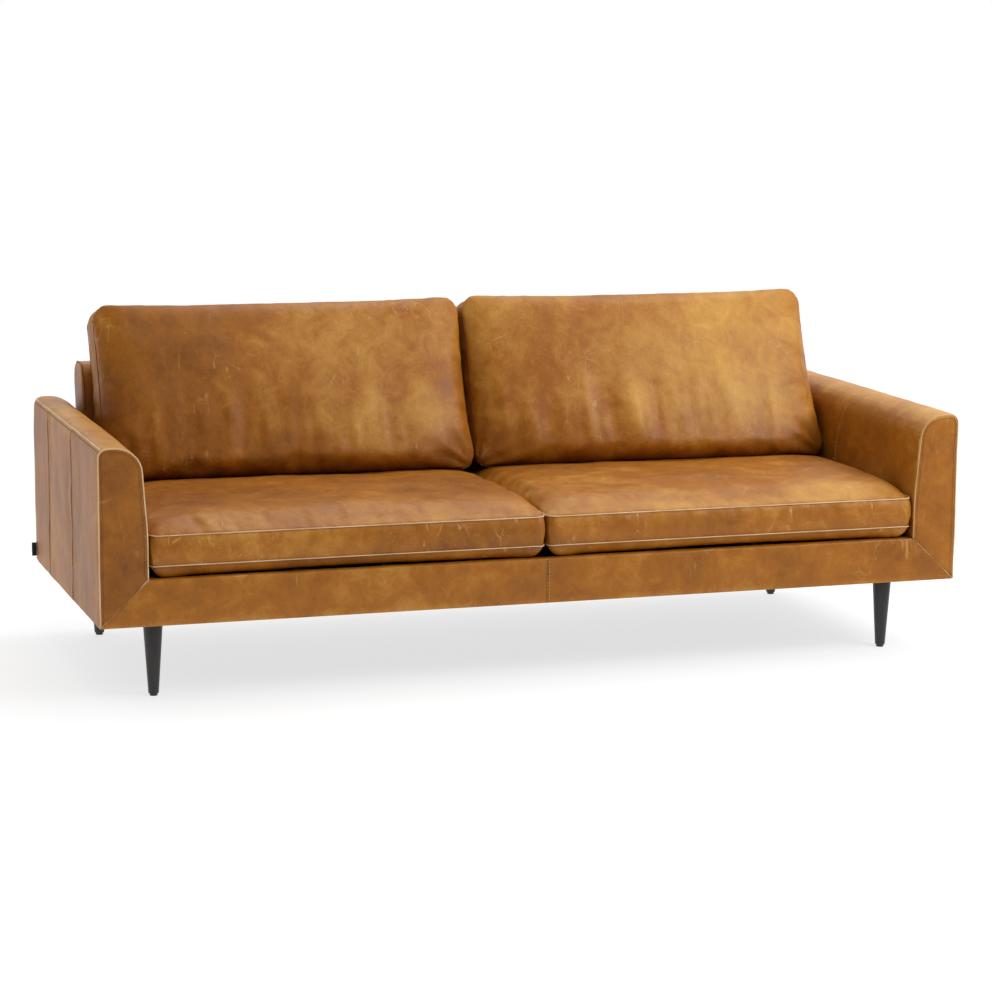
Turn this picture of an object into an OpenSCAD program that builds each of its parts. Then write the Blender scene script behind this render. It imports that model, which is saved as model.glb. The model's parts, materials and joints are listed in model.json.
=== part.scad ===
// Two-seat-cushion leather sofa on four turned wooden legs.
// Millimetres. X runs along the sofa, -Y is the front, +Z is up.
// The origin is on the floor, under the middle of the sofa.

/* [Overall] */
// Overall width over the two arms
sofa_w = 2200; // [1900:10:2600]
// Overall depth, front of the arms to the outside back
sofa_d = 900; // [860:5:1000]
// Height of the underside above the floor
under_h = 190; // [150:5:230]

/* [Arms] */
// Height of the arm tops
arm_h = 616; // [580:2:680]
// Arm thickness at the base
arm_t = 118; // [110:1:150]
// How much narrower the arm is at its top
arm_taper = 14; // [6:1:24]
// Radius of the rolled inner top edge
arm_roll_r = 66; // [40:1:70]
// Radius of the outer top edge
arm_edge_r = 24; // [14:1:30]

/* [Base] */
// Height of the front rail's top, where the seat cushions lie
deck_h = 302; // [296:1:320]
// Height of the base timbers
rail_h = 100; // [90:1:106]
// Thickness of the front and rear rails
rail_t = 25; // [20:1:32]
// Thickness of the two side rails
side_rail_t = 45; // [40:1:50]
// Number of zigzag springs under each seat cushion
springs_per_seat = 4; // [3:1:6]

/* [Legs] */
// Distance from the outer side to a leg's centre
leg_in_x = 147; // [140:1:190]
// Distance from the front to a front leg's centre
leg_in_front = 111; // [90:1:160]
// Distance from the back to a rear leg's centre
leg_in_rear = 85; // [80:1:120]
// Radius of a leg at its top
leg_top_r = 24.5; // [20:0.5:30]
// Radius of a leg at its foot
leg_foot_r = 12.5; // [11:0.5:18]

/* [Seat cushions] */
// Height of the seat cushions' upper seam
seat_seam_h = 404; // [395:1:410]
// Height of the seat cushions' crown
seat_crown_h = 432; // [420:1:433]
// Depth of the seat cushions
seat_d = 704; // [690:1:706]

/* [Back] */
// Height of the upholstered back
back_h = 712; // [690:1:740]
// Thickness of the back at its top
back_t = 103; // [95:1:110]
// Lean of the back's front face
back_lean = 12; // [9:0.5:13]
// Height of the back cushions' top
top_h = 866; // [840:1:900]
// Thickness of a back cushion at its top
back_cushion_t = 140; // [120:1:150]

/* [Hidden] */

$fn = 48;

// Sheet thicknesses and the gap kept between pieces that move apart
leather = 2;
cloth = 1;
clear = 1;

// The frame's outline
side_x = sofa_w / 2;
front_y = -sofa_d / 2;
rear_y = sofa_d / 2;
inner_x = side_x - arm_t;

// Arm carcass: a box of boards, measured inwards from the arm's outer face
arm_pad = 18;
arm_box_w = 66;
arm_board_t = 15;
arm_box_top = arm_h - 28;
carcass_x = side_x - arm_pad - arm_box_w;

// Base timbers
timber_z = under_h + leather;
timber_top = timber_z + rail_h;
rail_front_y = front_y + arm_pad;
rail_rear_y = rear_y - arm_pad;
side_rail_x = carcass_x - side_rail_t;
cross_rail_t = 40;

// Springs
wire_r = 1.9;
spring_w = 52;
spring_pitch = 27;
clip_t = 1;
clip_size = [18, 16, 2 * wire_r + 2.2];
spring_z = timber_top + clip_t + wire_r + 0.1;

// Legs and their fittings
leg_x = side_x - leg_in_x;
leg_front_y = front_y + leg_in_front;
leg_rear_y = rear_y - leg_in_rear;
plate_t = 2.5;
leg_top = timber_z - plate_t;
glide_h = 5;
bolt_r = 4.9;
bolt_hole_r = 5;
leg_bolt_len = 90;
leg_bolt_into_leg = 50;
block_size = [76, 80, 60];

// Back
back_end_x = inner_x - clear;
back_pad = 28;
back_board_t = 3;
back_post_t = 25;
back_front_top_y = rear_y - back_t;
lean_run = tan(back_lean);
back_front_y = back_front_top_y - (back_h - deck_h) * lean_run;
arm_bolt_y = [-250, -60, 210, 290];
m8_r = 4;
m8_hole_r = 4.2;

// Cushions
cushion_end_x = inner_x - 2;
cushion_mid_x = 1.5;
seat_front_y = front_y + clear;
back_cushion_z = seat_crown_h + 1.5;
zip_t = 2;

// Colours
tan_leather = [0.66, 0.38, 0.16];
dark_leather = [0.58, 0.32, 0.13];
pine = [0.85, 0.70, 0.48];
plywood = [0.78, 0.62, 0.42];
foam_yellow = [0.93, 0.87, 0.66];
steel = [0.62, 0.63, 0.65];
black_cloth = [0.12, 0.12, 0.13];
black_stain = [0.08, 0.07, 0.07];

// ---------- outlines ----------

// Unit normal of the edge a-b, pointing into an anticlockwise outline
function edge_normal(a, b) = let (d = [b[0] - a[0], b[1] - a[1]]) [-d[1], d[0]] / norm(d);

function before(c, i) = c[(i + len(c) - 1) % len(c)];
function after(c, i) = c[(i + 1) % len(c)];

// The outline c of [x, y, radius] corners, moved inwards by t
function inset(c, t) = [
    for (i = [0 : len(c) - 1])
        let (
            n = edge_normal(before(c, i), c[i]),
            m = edge_normal(c[i], after(c, i)),
            k = t / (1 + n * m)
        )
        [c[i][0] + k * (n[0] + m[0]), c[i][1] + k * (n[1] + m[1]), max(c[i][2] - t, 0)]
];

// The same outline with its corners turned into arcs
function rounded(c) = [
    for (i = [0 : len(c) - 1])
        let (
            r = c[i][2],
            n = edge_normal(before(c, i), c[i]),
            m = edge_normal(c[i], after(c, i)),
            turn = acos(min(1, n * m)),
            steps = r < 1 ? 0 : max(2, ceil(turn / 12)),
            k = r / (1 + n * m),
            start = atan2(-n[1], -n[0])
        )
        for (j = [0 : steps])
            let (a = steps == 0 ? start : start + turn * j / steps)
            [c[i][0] + k * (n[0] + m[0]) + (steps == 0 ? 0 : r * cos(a)),
             c[i][1] + k * (n[1] + m[1]) + (steps == 0 ? 0 : r * sin(a))]
];

// Arm section seen from the front, x from the outer face inwards
function arm_section() = [
    [0, under_h, 4], [arm_t, under_h, 4], [arm_t, arm_h - 216, 90],
    [arm_t - arm_taper, arm_h, arm_roll_r], [0, arm_h, arm_edge_r]
];

// Back section seen from the side, above the deck
function back_section() = [
    [back_front_y, deck_h, 0], [rear_y, deck_h, 0], [rear_y, back_h, 34],
    [back_front_top_y, back_h, 34]
];

// Seat cushion section seen from the side
function seat_section() = [
    [seat_front_y + 46, deck_h + clear, 50], [seat_front_y + seat_d, deck_h + clear, 18],
    [seat_front_y + seat_d, seat_seam_h, 16], [120, seat_crown_h, 180], [-300, seat_crown_h, 220],
    [seat_front_y, seat_seam_h, 12], [seat_front_y, seat_seam_h - 74, 10]
];

// Back cushion section seen from the side; it leans against the back
function back_cushion_section() =
    let (
        rear_foot = back_front_y + (back_cushion_z - deck_h) * lean_run - clear,
        rear_top = rear_foot + (top_h - 14 - back_cushion_z) * lean_run
    ) [
        [rear_foot, back_cushion_z, 20], [rear_top, top_h - 14, 24], [rear_top - 60, top_h, 40],
        [rear_top - back_cushion_t, top_h - 12, 34], [rear_top - 240, top_h - 262, 260],
        [rear_foot - 180, back_cushion_z + 70, 60], [rear_foot - 145, back_cushion_z, 34]
    ];

module along_y(y0, y1) {
    translate([0, y1, 0]) rotate([90, 0, 0]) linear_extrude(y1 - y0) children();
}

module along_x(x0, x1) {
    translate([x0, 0, 0]) rotate([90, 0, 90]) linear_extrude(x1 - x0) children();
}

// A board between two corners
module board(from, to) {
    translate(from) cube(to - from);
}

// Everything is drawn for the left side (-X) and mirrored for the right
module on_side(side) {
    if (side == "right") mirror([1, 0, 0]) children();
    else children();
}

module at_legs() {
    for (x = [-leg_x, leg_x], y = [leg_front_y, leg_rear_y]) translate([x, y, 0]) children();
}

// Places a bolt, or its hole, through the side rail into the arm at each bolt position
module at_arm_bolts() {
    for (y = arm_bolt_y) translate([0, y, timber_z + 50]) rotate([0, 90, 0]) children();
}

// ---------- base ----------

module front_rail() {
    color(pine) board([-carcass_x, rail_front_y, timber_z], [carcass_x, rail_front_y + rail_t, timber_top]);
}

module rear_rail() {
    color(pine) difference() {
        board([-carcass_x, rail_rear_y - rail_t, timber_z], [carcass_x, rail_rear_y, timber_top]);
        for (x = back_post_x) translate([x, rail_rear_y - rail_t - 1, timber_z + 50])
            rotate([-90, 0, 0]) cylinder(h = rail_t + 2, r = m8_hole_r);
    }
}

module side_rail(side) {
    color(pine) on_side(side) difference() {
        board([-carcass_x, rail_front_y + rail_t, timber_z],
              [-side_rail_x, rail_rear_y - rail_t, timber_top]);
        translate([-carcass_x - 1, 0, 0]) at_arm_bolts() cylinder(h = side_rail_t + 2, r = m8_hole_r);
    }
}

module cross_rails() {
    color(pine) for (x = [-side_rail_x / 2, 0, side_rail_x / 2])
        board([x - cross_rail_t / 2, rail_front_y + rail_t, timber_z + 8],
              [x + cross_rail_t / 2, rail_rear_y - rail_t, timber_z + 68]);
}

module leg_blocks() {
    color(pine) for (x = [-1, 1], y = [leg_front_y, leg_rear_y])
        translate([x * (side_rail_x - block_size[0] / 2), 0, 0]) difference() {
            y0 = y < 0 ? y - block_size[1] / 2 : rail_rear_y - rail_t - block_size[1];
            board([-block_size[0] / 2, y0, timber_z],
                  [block_size[0] / 2, y0 + block_size[1], timber_z + block_size[2]]);
            translate([x * (leg_x - side_rail_x + block_size[0] / 2), y, timber_z - 1]) {
                cylinder(h = block_size[2] + 2, r = bolt_hole_r);
                cylinder(h = 13, r = 9);
            }
        }
}

// ---------- springs and deck ----------

// End bars of the springs, held in the clips on the front and rear rails
spring_y0 = rail_front_y + rail_t - 12;
spring_y1 = rail_rear_y - rail_t + 12;
spring_bends = 2 * round((spring_y1 - spring_y0) / spring_pitch / 2);
bar_gap = (spring_y1 - spring_y0) / spring_bends;
bar_len = spring_w - bar_gap;

// Centre line of a zigzag spring as [x, y, direction of its normal]: half turns joined by straight bars
function spring_line() = concat(
    [[-bar_len / 2, spring_y0, 90]],
    [
        for (k = [0 : spring_bends - 1])
            let (end = k % 2 == 0 ? 1 : -1, middle = spring_y0 + (k + 0.5) * bar_gap)
            for (j = [0 : 3])
                let (a = -90 + 60 * j)
                [end * (bar_len / 2 + bar_gap / 2 * cos(a)), middle + bar_gap / 2 * sin(a),
                 end > 0 ? a + 180 : 180 - a]
    ],
    [[bar_len / 2, spring_y1, 90]]
);

function beside(line, gap) = [for (p = line) [p[0] + gap * cos(p[2]), p[1] + gap * sin(p[2])]];

// One spring, bent from wire and lying flat
module zigzag_spring() {
    line = spring_line();
    right_side = beside(line, -wire_r);
    translate([0, 0, spring_z - wire_r]) linear_extrude(2 * wire_r) polygon(concat(
        beside(line, wire_r), [for (i = [len(line) - 1 : -1 : 0]) right_side[i]]
    ));
}

spring_x = [
    for (side = [-1, 1], i = [0 : springs_per_seat - 1])
        side * side_rail_x * (i + 0.7) / (springs_per_seat + 0.4)
];

module zigzag_springs() {
    color(steel) for (x = spring_x) translate([x, 0, 0]) zigzag_spring();
}

// A folded steel clip that holds a spring's end on the rail
module spring_clip() {
    difference() {
        translate([-clip_size[0] / 2, -clip_size[1] / 2, 0]) cube(clip_size);
        translate([-clip_size[0], -clip_size[1] / 2 + clip_t, clip_t])
            cube([2 * clip_size[0], clip_size[1], clip_size[2] - 2 * clip_t]);
    }
}

module spring_clips() {
    color(steel) for (x = spring_x) {
        translate([x, spring_y0, timber_top]) spring_clip();
        translate([x, spring_y1, timber_top]) rotate([0, 0, 180]) spring_clip();
    }
}

module deck_cloth() {
    color(black_cloth) board([-back_end_x, rail_front_y + rail_t + 6, deck_h - cloth],
                             [back_end_x, back_front_y - clear, deck_h]);
}

module dust_cover() {
    color(black_cloth) difference() {
        board([-side_x + 14, front_y + 14, under_h - cloth], [side_x - 14, rear_y - 14, under_h]);
        at_legs() translate([0, 0, under_h - 5]) cylinder(h = 10, r = 44);
    }
}

module front_rail_foam() {
    color(foam_yellow) {
        board([-inner_x, front_y + leather, timber_z], [inner_x, rail_front_y, deck_h - leather]);
        board([-inner_x, rail_front_y, timber_top], [inner_x, rail_front_y + 4, deck_h - leather]);
    }
}

// Front face with mitred ends, turned over the rail's top and under its foot
module front_rail_cover() {
    color(tan_leather) {
        along_y(front_y, front_y + leather)
            polygon([[-side_x, under_h], [side_x, under_h], [inner_x, deck_h], [-inner_x, deck_h]]);
        board([-inner_x, front_y + leather, deck_h - leather], [inner_x, rail_front_y + rail_t, deck_h]);
        board([-inner_x, front_y + leather, under_h], [inner_x, rail_front_y + 12, timber_z]);
    }
}

// ---------- arms ----------

module arm_frame(side) {
    x0 = -side_x + arm_pad;
    x1 = -carcass_x;
    x0_in = x0 + arm_board_t;
    x1_in = x1 - arm_board_t;
    z0_in = timber_z + 30;
    z1_in = arm_box_top - arm_board_t;
    y0 = rail_front_y;
    y1 = rail_rear_y;
    color(plywood) on_side(side) difference() {
        union() {
            board([x0, y0, timber_z], [x0_in, y1, arm_box_top]);
            board([x1_in, y0, timber_z], [x1, y1, arm_box_top]);
            board([x0_in, y0, z1_in], [x1_in, y1, arm_box_top]);
            board([x0_in, y0, timber_z], [x1_in, y1, z0_in]);
            for (y = [y0, -arm_board_t / 2, y1 - arm_board_t])
                board([x0_in, y, z0_in], [x1_in, y + arm_board_t, z1_in]);
        }
        translate([x1_in - 1, 0, 0]) at_arm_bolts() cylinder(h = arm_board_t + 2, r = m8_hole_r);
    }
}

module arm_foam(side) {
    color(foam_yellow) on_side(side) translate([-side_x, 0, 0]) difference() {
        along_y(front_y + leather, rear_y - leather) polygon(rounded(inset(arm_section(), leather)));
        board([arm_pad, rail_front_y, under_h - 1], [arm_pad + arm_box_w, rail_rear_y, arm_box_top]);
        board([arm_pad + arm_box_w, rail_front_y, under_h - 1], [arm_t + 1, rear_y, deck_h]);
    }
}

// The arm's outer skin as a ring, cut to the panel that children() covers
module arm_skin(side) {
    color(tan_leather) on_side(side) translate([-side_x, 0, 0])
        along_y(front_y + leather, rear_y - leather) intersection() {
            difference() {
                polygon(rounded(arm_section()));
                polygon(rounded(inset(arm_section(), leather)));
            }
            children();
        }
}

// Height and depth of the top seam, half way round the outer top edge
seam_in = arm_edge_r * (1 - cos(45));

module arm_side_outline() {
    translate([-1, under_h - 1]) square([1 + seam_in, arm_h - under_h + 1 - seam_in]);
    translate([0, under_h - 1]) square([30, leather + 1]);
}

module arm_side_panel(side) {
    arm_skin(side) arm_side_outline();
}

module arm_wrap(side) {
    arm_skin(side) difference() {
        translate([-1, deck_h]) square([arm_t + 2, arm_h - deck_h + 1]);
        arm_side_outline();
    }
}

module arm_front_panel(side) {
    color(tan_leather) on_side(side) translate([-side_x, 0, 0])
        along_y(front_y, front_y + leather) difference() {
            polygon(rounded(arm_section()));
            polygon([[-1, under_h - 1], [arm_t + 1, under_h - 1], [arm_t + 1, deck_h],
                     [arm_t, deck_h], [0, under_h], [-1, under_h]]);
        }
}

module arm_rear_panel(side) {
    color(tan_leather) on_side(side) translate([-side_x, 0, 0])
        along_y(rear_y - leather, rear_y) polygon(rounded(arm_section()));
}

module arm_bolt() {
    cylinder(h = side_rail_t + arm_board_t + 14, r = m8_r);
    translate([0, 0, side_rail_t + arm_board_t]) cylinder(h = 7, r = 8);
    translate([0, 0, -5]) cylinder(h = 5, r = 9);
}

module arm_bolts() {
    color(steel) for (side = ["left", "right"]) on_side(side)
        translate([-side_rail_x, 0, 0]) at_arm_bolts() mirror([0, 0, 1]) arm_bolt();
}

// ---------- back ----------

outer_post_x = side_rail_x - block_size[0] - back_post_t / 2 - 1;
back_post_x = [-outer_post_x, -290, 290, outer_post_x];
core_top = back_h - leather - 24;
core_foot_y = back_front_y + back_pad / cos(back_lean);
core_rear_y = rear_y - leather - back_board_t;
core_top_y = core_foot_y + (core_top - deck_h) * lean_run;

module back_posts() {
    foot_y = rail_rear_y - rail_t;
    color(plywood) for (x = back_post_x) difference() {
        along_x(x - back_post_t / 2, x + back_post_t / 2) polygon([
            [core_foot_y, timber_top + 8], [core_foot_y, deck_h], [core_top_y, core_top],
            [core_rear_y, core_top], [core_rear_y, timber_top], [foot_y, timber_top],
            [foot_y, timber_z], [foot_y - 34, timber_z], [foot_y - 34, timber_top + 8]
        ]);
        translate([x, foot_y - 50, timber_z + 50]) rotate([-90, 0, 0]) cylinder(h = 80, r = m8_hole_r);
    }
}

// A rail between each pair of neighbouring posts, and a short one outside each outer post
module between_posts(from, to) {
    end = back_end_x - leather - 12 + back_post_t / 2;
    stops = concat([-end], back_post_x, [end]);
    for (i = [0 : len(stops) - 2])
        board([stops[i] + back_post_t / 2, from[0], from[1]],
              [stops[i + 1] - back_post_t / 2, to[0], to[1]]);
}

module back_top_rail() {
    color(pine) between_posts([core_top_y + 4, core_top - 70], [core_top_y + 29, core_top]);
}

module back_bottom_rail() {
    color(pine) between_posts([core_foot_y + 20, timber_top + 8], [core_foot_y + 45, timber_top + 78]);
}

web_t = 2;
web_w = 50;

module back_webbing() {
    color(black_cloth) for (i = [0 : 4])
        translate([0, core_foot_y, deck_h]) rotate([-back_lean, 0, 0])
            translate([-back_end_x + 20, -web_t, 40 + 68 * i]) cube([2 * back_end_x - 40, web_t, web_w]);
}

module back_board() {
    color([0.52, 0.38, 0.25]) board([-back_end_x + leather, core_rear_y, timber_top],
                                    [back_end_x - leather, rear_y - leather, back_h - 34]);
}

module back_foam() {
    web_run = (web_t + 0.1) / cos(back_lean);
    color(foam_yellow) along_x(-back_end_x + leather, back_end_x - leather) difference() {
        polygon(rounded(inset(back_section(), leather)));
        polygon([
            [core_foot_y - web_run, deck_h], [rear_y, deck_h], [rear_y, core_top],
            [core_top_y - web_run, core_top]
        ]);
    }
}

module back_cover_inside() {
    color(tan_leather) {
        along_x(-back_end_x + leather, back_end_x - leather) difference() {
            polygon(rounded(back_section()));
            polygon(rounded(inset(back_section(), leather)));
            translate([rear_y - leather, 0]) square([leather + 1, back_h - 34]);
            translate([back_front_y - 1, deck_h - 1]) square([sofa_d, leather + 1.01]);
        }
        for (x = [-back_end_x, back_end_x - leather])
            along_x(x, x + leather) difference() {
                polygon(rounded(back_section()));
                translate([rear_y - leather, 0]) square([leather + 1, back_h - 34]);
            }
    }
}

module back_cover_outside() {
    color(tan_leather) {
        board([-inner_x, rear_y - leather, under_h], [inner_x, rear_y, back_h - 34]);
        board([-inner_x, rear_y - 30, under_h], [inner_x, rear_y - leather, timber_z]);
    }
}

module back_bolts() {
    foot_y = rail_rear_y - rail_t;
    color(steel) for (x = back_post_x) translate([x, foot_y - 34, timber_z + 50]) rotate([-90, 0, 0]) {
        cylinder(h = 34 + rail_t + 10, r = m8_r);
        translate([0, 0, -5]) cylinder(h = 5, r = 9);
        translate([0, 0, 34 + rail_t]) cylinder(h = 7, r = 8);
    }
}

// A plain folded fabric tab sewn into the rear corner seam
module label_tab() {
    color(black_cloth) board([-side_x - 12, rear_y - 5, under_h + 12], [-side_x, rear_y - 3, under_h + 47]);
}

// ---------- legs ----------

module leg(x, y) {
    color(black_stain) translate([x, y, 0]) difference() {
        rotate_extrude() polygon([
            [0, glide_h], [leg_foot_r - 3, glide_h], [leg_foot_r - 0.8, glide_h + 1.5],
            [leg_foot_r, glide_h + 5], [leg_top_r, leg_top], [0, leg_top]
        ]);
        translate([0, 0, leg_top - leg_bolt_into_leg]) cylinder(h = leg_bolt_into_leg + 1, r = bolt_hole_r);
    }
}

// Steel plate under each leg block, with a threaded boss that the leg bolt screws into
module leg_plates() {
    color(steel) at_legs() translate([0, 0, leg_top]) difference() {
        union() {
            translate([-18 - 0.1, -32, 0]) cube([36.2, 64, plate_t]);
            cylinder(h = plate_t + 10, r = 8.8);
        }
        translate([0, 0, -1]) cylinder(h = plate_t + 12, r = bolt_hole_r);
    }
}

module leg_bolts() {
    color(steel) at_legs() translate([0, 0, leg_top - leg_bolt_into_leg + 1])
        cylinder(h = leg_bolt_len, r = bolt_r);
}

module leg_glides() {
    color(black_cloth) at_legs() cylinder(h = glide_h, r = leg_foot_r - 3);
}

// ---------- cushions ----------

cushion_wall = 2.5;

// A sewn cover: the cushion's outer form less its filling
module cushion_cover(side, section) {
    color(dark_leather) on_side(side) difference() {
        along_x(-cushion_end_x, -cushion_mid_x) polygon(rounded(section));
        along_x(-cushion_end_x + cushion_wall, -cushion_mid_x - cushion_wall)
            polygon(rounded(inset(section, cushion_wall)));
    }
}

module cushion_filling(side, section) {
    fit = cushion_wall + 0.2;
    color(foam_yellow) on_side(side)
        along_x(-cushion_end_x + fit, -cushion_mid_x - fit) polygon(rounded(inset(section, fit)));
}

module seat_cover(side) {
    cushion_cover(side, seat_section());
}

module seat_foam(side) {
    cushion_filling(side, seat_section());
}

module back_cushion_cover(side) {
    cushion_cover(side, back_cushion_section());
}

module back_cushion_fill(side) {
    cushion_filling(side, back_cushion_section());
}

// A zip: its tape and the slider at one end
module zip(side, length, slider_len) {
    cube([length, zip_t, 16]);
    translate([6, 0, -slider_len]) cube([7, zip_t, slider_len]);
}

module seat_zip(side) {
    color(black_cloth) on_side(side)
        translate([-cushion_end_x + 120, seat_front_y + seat_d, deck_h + 42])
            zip(side, cushion_end_x - 240, 12);
}

module back_cushion_zip(side) {
    foot = back_cushion_section()[0];
    color(black_cloth) on_side(side)
        translate([-cushion_end_x + 120, foot[0] - 60, foot[1] - zip_t + 1])
            rotate([90, 0, 0]) translate([0, -1, 0]) zip(side, cushion_end_x - 240, 0.5);
}

// ---------- what is drawn ----------

front_rail();
rear_rail();
side_rail("left");  // side_rail_left
side_rail("right");  // side_rail_right
cross_rails();
leg_blocks();
zigzag_springs();
spring_clips();
deck_cloth();
dust_cover();
front_rail_foam();
front_rail_cover();
arm_frame("left");  // arm_frame_left
arm_frame("right");  // arm_frame_right
arm_foam("left");  // arm_foam_left
arm_foam("right");  // arm_foam_right
arm_wrap("left");  // arm_wrap_left
arm_wrap("right");  // arm_wrap_right
arm_side_panel("left");  // arm_side_panel_left
arm_side_panel("right");  // arm_side_panel_right
arm_front_panel("left");  // arm_front_panel_left
arm_front_panel("right");  // arm_front_panel_right
arm_rear_panel("left");  // arm_rear_panel_left
arm_rear_panel("right");  // arm_rear_panel_right
arm_bolts();
back_posts();
back_top_rail();
back_bottom_rail();
back_webbing();
back_board();
back_foam();
back_cover_inside();
back_cover_outside();
back_bolts();
label_tab();
leg(-leg_x, leg_front_y);  // leg_front_left
leg(leg_x, leg_front_y);  // leg_front_right
leg(-leg_x, leg_rear_y);  // leg_rear_left
leg(leg_x, leg_rear_y);  // leg_rear_right
leg_plates();
leg_bolts();
leg_glides();
seat_cover("left");  // seat_cover_left
seat_cover("right");  // seat_cover_right
seat_foam("left");  // seat_foam_left
seat_foam("right");  // seat_foam_right
seat_zip("left");  // seat_zip_left
seat_zip("right");  // seat_zip_right
back_cushion_cover("left");  // back_cushion_cover_left
back_cushion_cover("right");  // back_cushion_cover_right
back_cushion_fill("left");  // back_cushion_fill_left
back_cushion_fill("right");  // back_cushion_fill_right
back_cushion_zip("left");  // back_cushion_zip_left
back_cushion_zip("right");  // back_cushion_zip_right
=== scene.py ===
import json
from math import atan2, cos, exp, hypot, pi, radians, sin, sqrt, tan

import bmesh
import bpy
from mathutils import Matrix, Vector, noise
from mathutils.bvhtree import BVHTree


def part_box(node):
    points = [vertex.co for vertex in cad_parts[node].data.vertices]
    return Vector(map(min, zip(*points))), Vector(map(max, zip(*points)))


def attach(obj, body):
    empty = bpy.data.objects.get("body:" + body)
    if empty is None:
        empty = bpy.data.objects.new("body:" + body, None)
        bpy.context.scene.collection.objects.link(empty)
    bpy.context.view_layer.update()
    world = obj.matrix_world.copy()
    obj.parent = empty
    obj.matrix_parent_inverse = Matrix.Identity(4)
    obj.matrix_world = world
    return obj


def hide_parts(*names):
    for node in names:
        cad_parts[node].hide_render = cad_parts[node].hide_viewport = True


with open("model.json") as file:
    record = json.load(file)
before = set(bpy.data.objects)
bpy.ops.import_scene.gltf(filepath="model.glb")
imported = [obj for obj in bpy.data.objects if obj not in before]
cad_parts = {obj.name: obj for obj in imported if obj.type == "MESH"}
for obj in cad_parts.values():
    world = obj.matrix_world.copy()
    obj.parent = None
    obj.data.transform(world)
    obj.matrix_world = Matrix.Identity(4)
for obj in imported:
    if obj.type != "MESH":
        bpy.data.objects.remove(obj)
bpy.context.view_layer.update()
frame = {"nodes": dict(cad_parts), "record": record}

scene = bpy.context.scene

# ---------- places taken from the frame ----------

RAIL_LO, RAIL_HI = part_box("front_rail_cover")
SIDE_X, FRONT_Y, UNDER_Z, DECK_Z = RAIL_HI.x, RAIL_LO.y, RAIL_LO.z, RAIL_HI.z
REAR_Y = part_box("back_cover_outside")[1].y
INNER_X, ARM_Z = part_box("arm_wrap_right")[0].x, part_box("arm_wrap_right")[1].z
ARM_T = SIDE_X - INNER_X
ARM_TAPER = 0.014            # how far the inner face leans out at the top
ARM_ROLL, ARM_EDGE = 0.062, 0.022  # the top's rounding, inner and outer
ARM_BEND = DECK_Z + 0.098    # where the inner face starts to lean
BACK_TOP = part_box("back_cover_inside")[1].z
LEAN_ANGLE = radians(12)
LEAN = tan(LEAN_ANGLE)
MITRE_RUN = DECK_Z - UNDER_Z
GRID = 0.0125                # how far apart the leather's vertices are before smoothing


# ---------- materials ----------

DEEP, TAN, PALE = (0.140, 0.038, 0.0015), (0.352, 0.119, 0.006), (0.63, 0.33, 0.060)
SCUFFED = (0.72, 0.45, 0.17)


def new_material(name):
    made = bpy.data.materials.new(name)
    made.use_nodes = True
    tree = made.node_tree
    return made, tree, tree.nodes["Principled BSDF"]


def add(tree, kind, **values):
    """A new node, with its inputs and settings given by name."""
    node = tree.nodes.new(kind)
    for key, value in values.items():
        if key in node.inputs:
            node.inputs[key].default_value = value
        else:
            setattr(node, key, value)
    return node


def mapped(tree, shift=(0, 0, 0), scale=(1, 1, 1), turn=(0, 0, 0)):
    """Places on the object, shifted, stretched and turned."""
    place = tree.nodes.new("ShaderNodeTexCoord")
    mapping = add(tree, "ShaderNodeMapping", Location=shift, Scale=scale, Rotation=turn)
    tree.links.new(place.outputs["Object"], mapping.inputs["Vector"])
    return mapping.outputs["Vector"]


def textured(tree, kind, place, out, **values):
    made = add(tree, f"ShaderNodeTex{kind}", **values)
    tree.links.new(place, made.inputs["Vector"])
    return made.outputs[out]


def noise_on(tree, place, scale, detail=5.0, rough=0.55, bend=0.0):
    return textured(tree, "Noise", place, "Fac", Scale=scale, Detail=detail, Roughness=rough, Distortion=bend)


def ramp(tree, source, stops, smooth=True):
    """Colours or greys at stops along a value from 0 to 1."""
    made = tree.nodes.new("ShaderNodeValToRGB")
    tree.links.new(source, made.inputs["Fac"])
    made.color_ramp.interpolation = "EASE" if smooth else "LINEAR"
    while len(made.color_ramp.elements) < len(stops):
        made.color_ramp.elements.new(0.5)
    for element, (at, colour) in zip(made.color_ramp.elements, stops):
        element.position = at
        element.color = (*colour, 1) if hasattr(colour, "__len__") else (colour,) * 3 + (1,)
    return made.outputs["Color"]


def maths(tree, kind, *parts):
    """One step of arithmetic on sockets and numbers."""
    made = add(tree, "ShaderNodeMath", operation=kind)
    for i, part in enumerate(parts):
        if isinstance(part, (int, float)):
            made.inputs[i].default_value = part
        else:
            tree.links.new(part, made.inputs[i])
    return made.outputs[0]


def summed(tree, *shares):
    """Each source times its share, added up."""
    total = 0.0
    for source, share in shares:
        total = maths(tree, "MULTIPLY_ADD", source, share, total)
    return total


def mixed(tree, share, a, b, kind="MIX"):
    made = add(tree, "ShaderNodeMix", data_type="RGBA", blend_type=kind)
    for i, part in ((0, share), (6, a), (7, b)):
        if hasattr(part, "links"):
            tree.links.new(part, made.inputs[i])
        else:
            made.inputs[i].default_value = part if isinstance(part, float) else (*part, 1)
    return made.outputs[2]


def painted(tree, skin, source, low, dark, high, light):
    """Colours the surface from dark to light as the source goes from low to high."""
    tree.links.new(ramp(tree, source, ((low, dark), (high, light))), skin.inputs["Base Color"])


def bumped(tree, skin, height, strength, distance):
    bump = add(tree, "ShaderNodeBump", Strength=strength, Distance=distance)
    tree.links.new(height, bump.inputs["Height"])
    tree.links.new(bump.outputs["Normal"], skin.inputs["Normal"])


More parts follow.
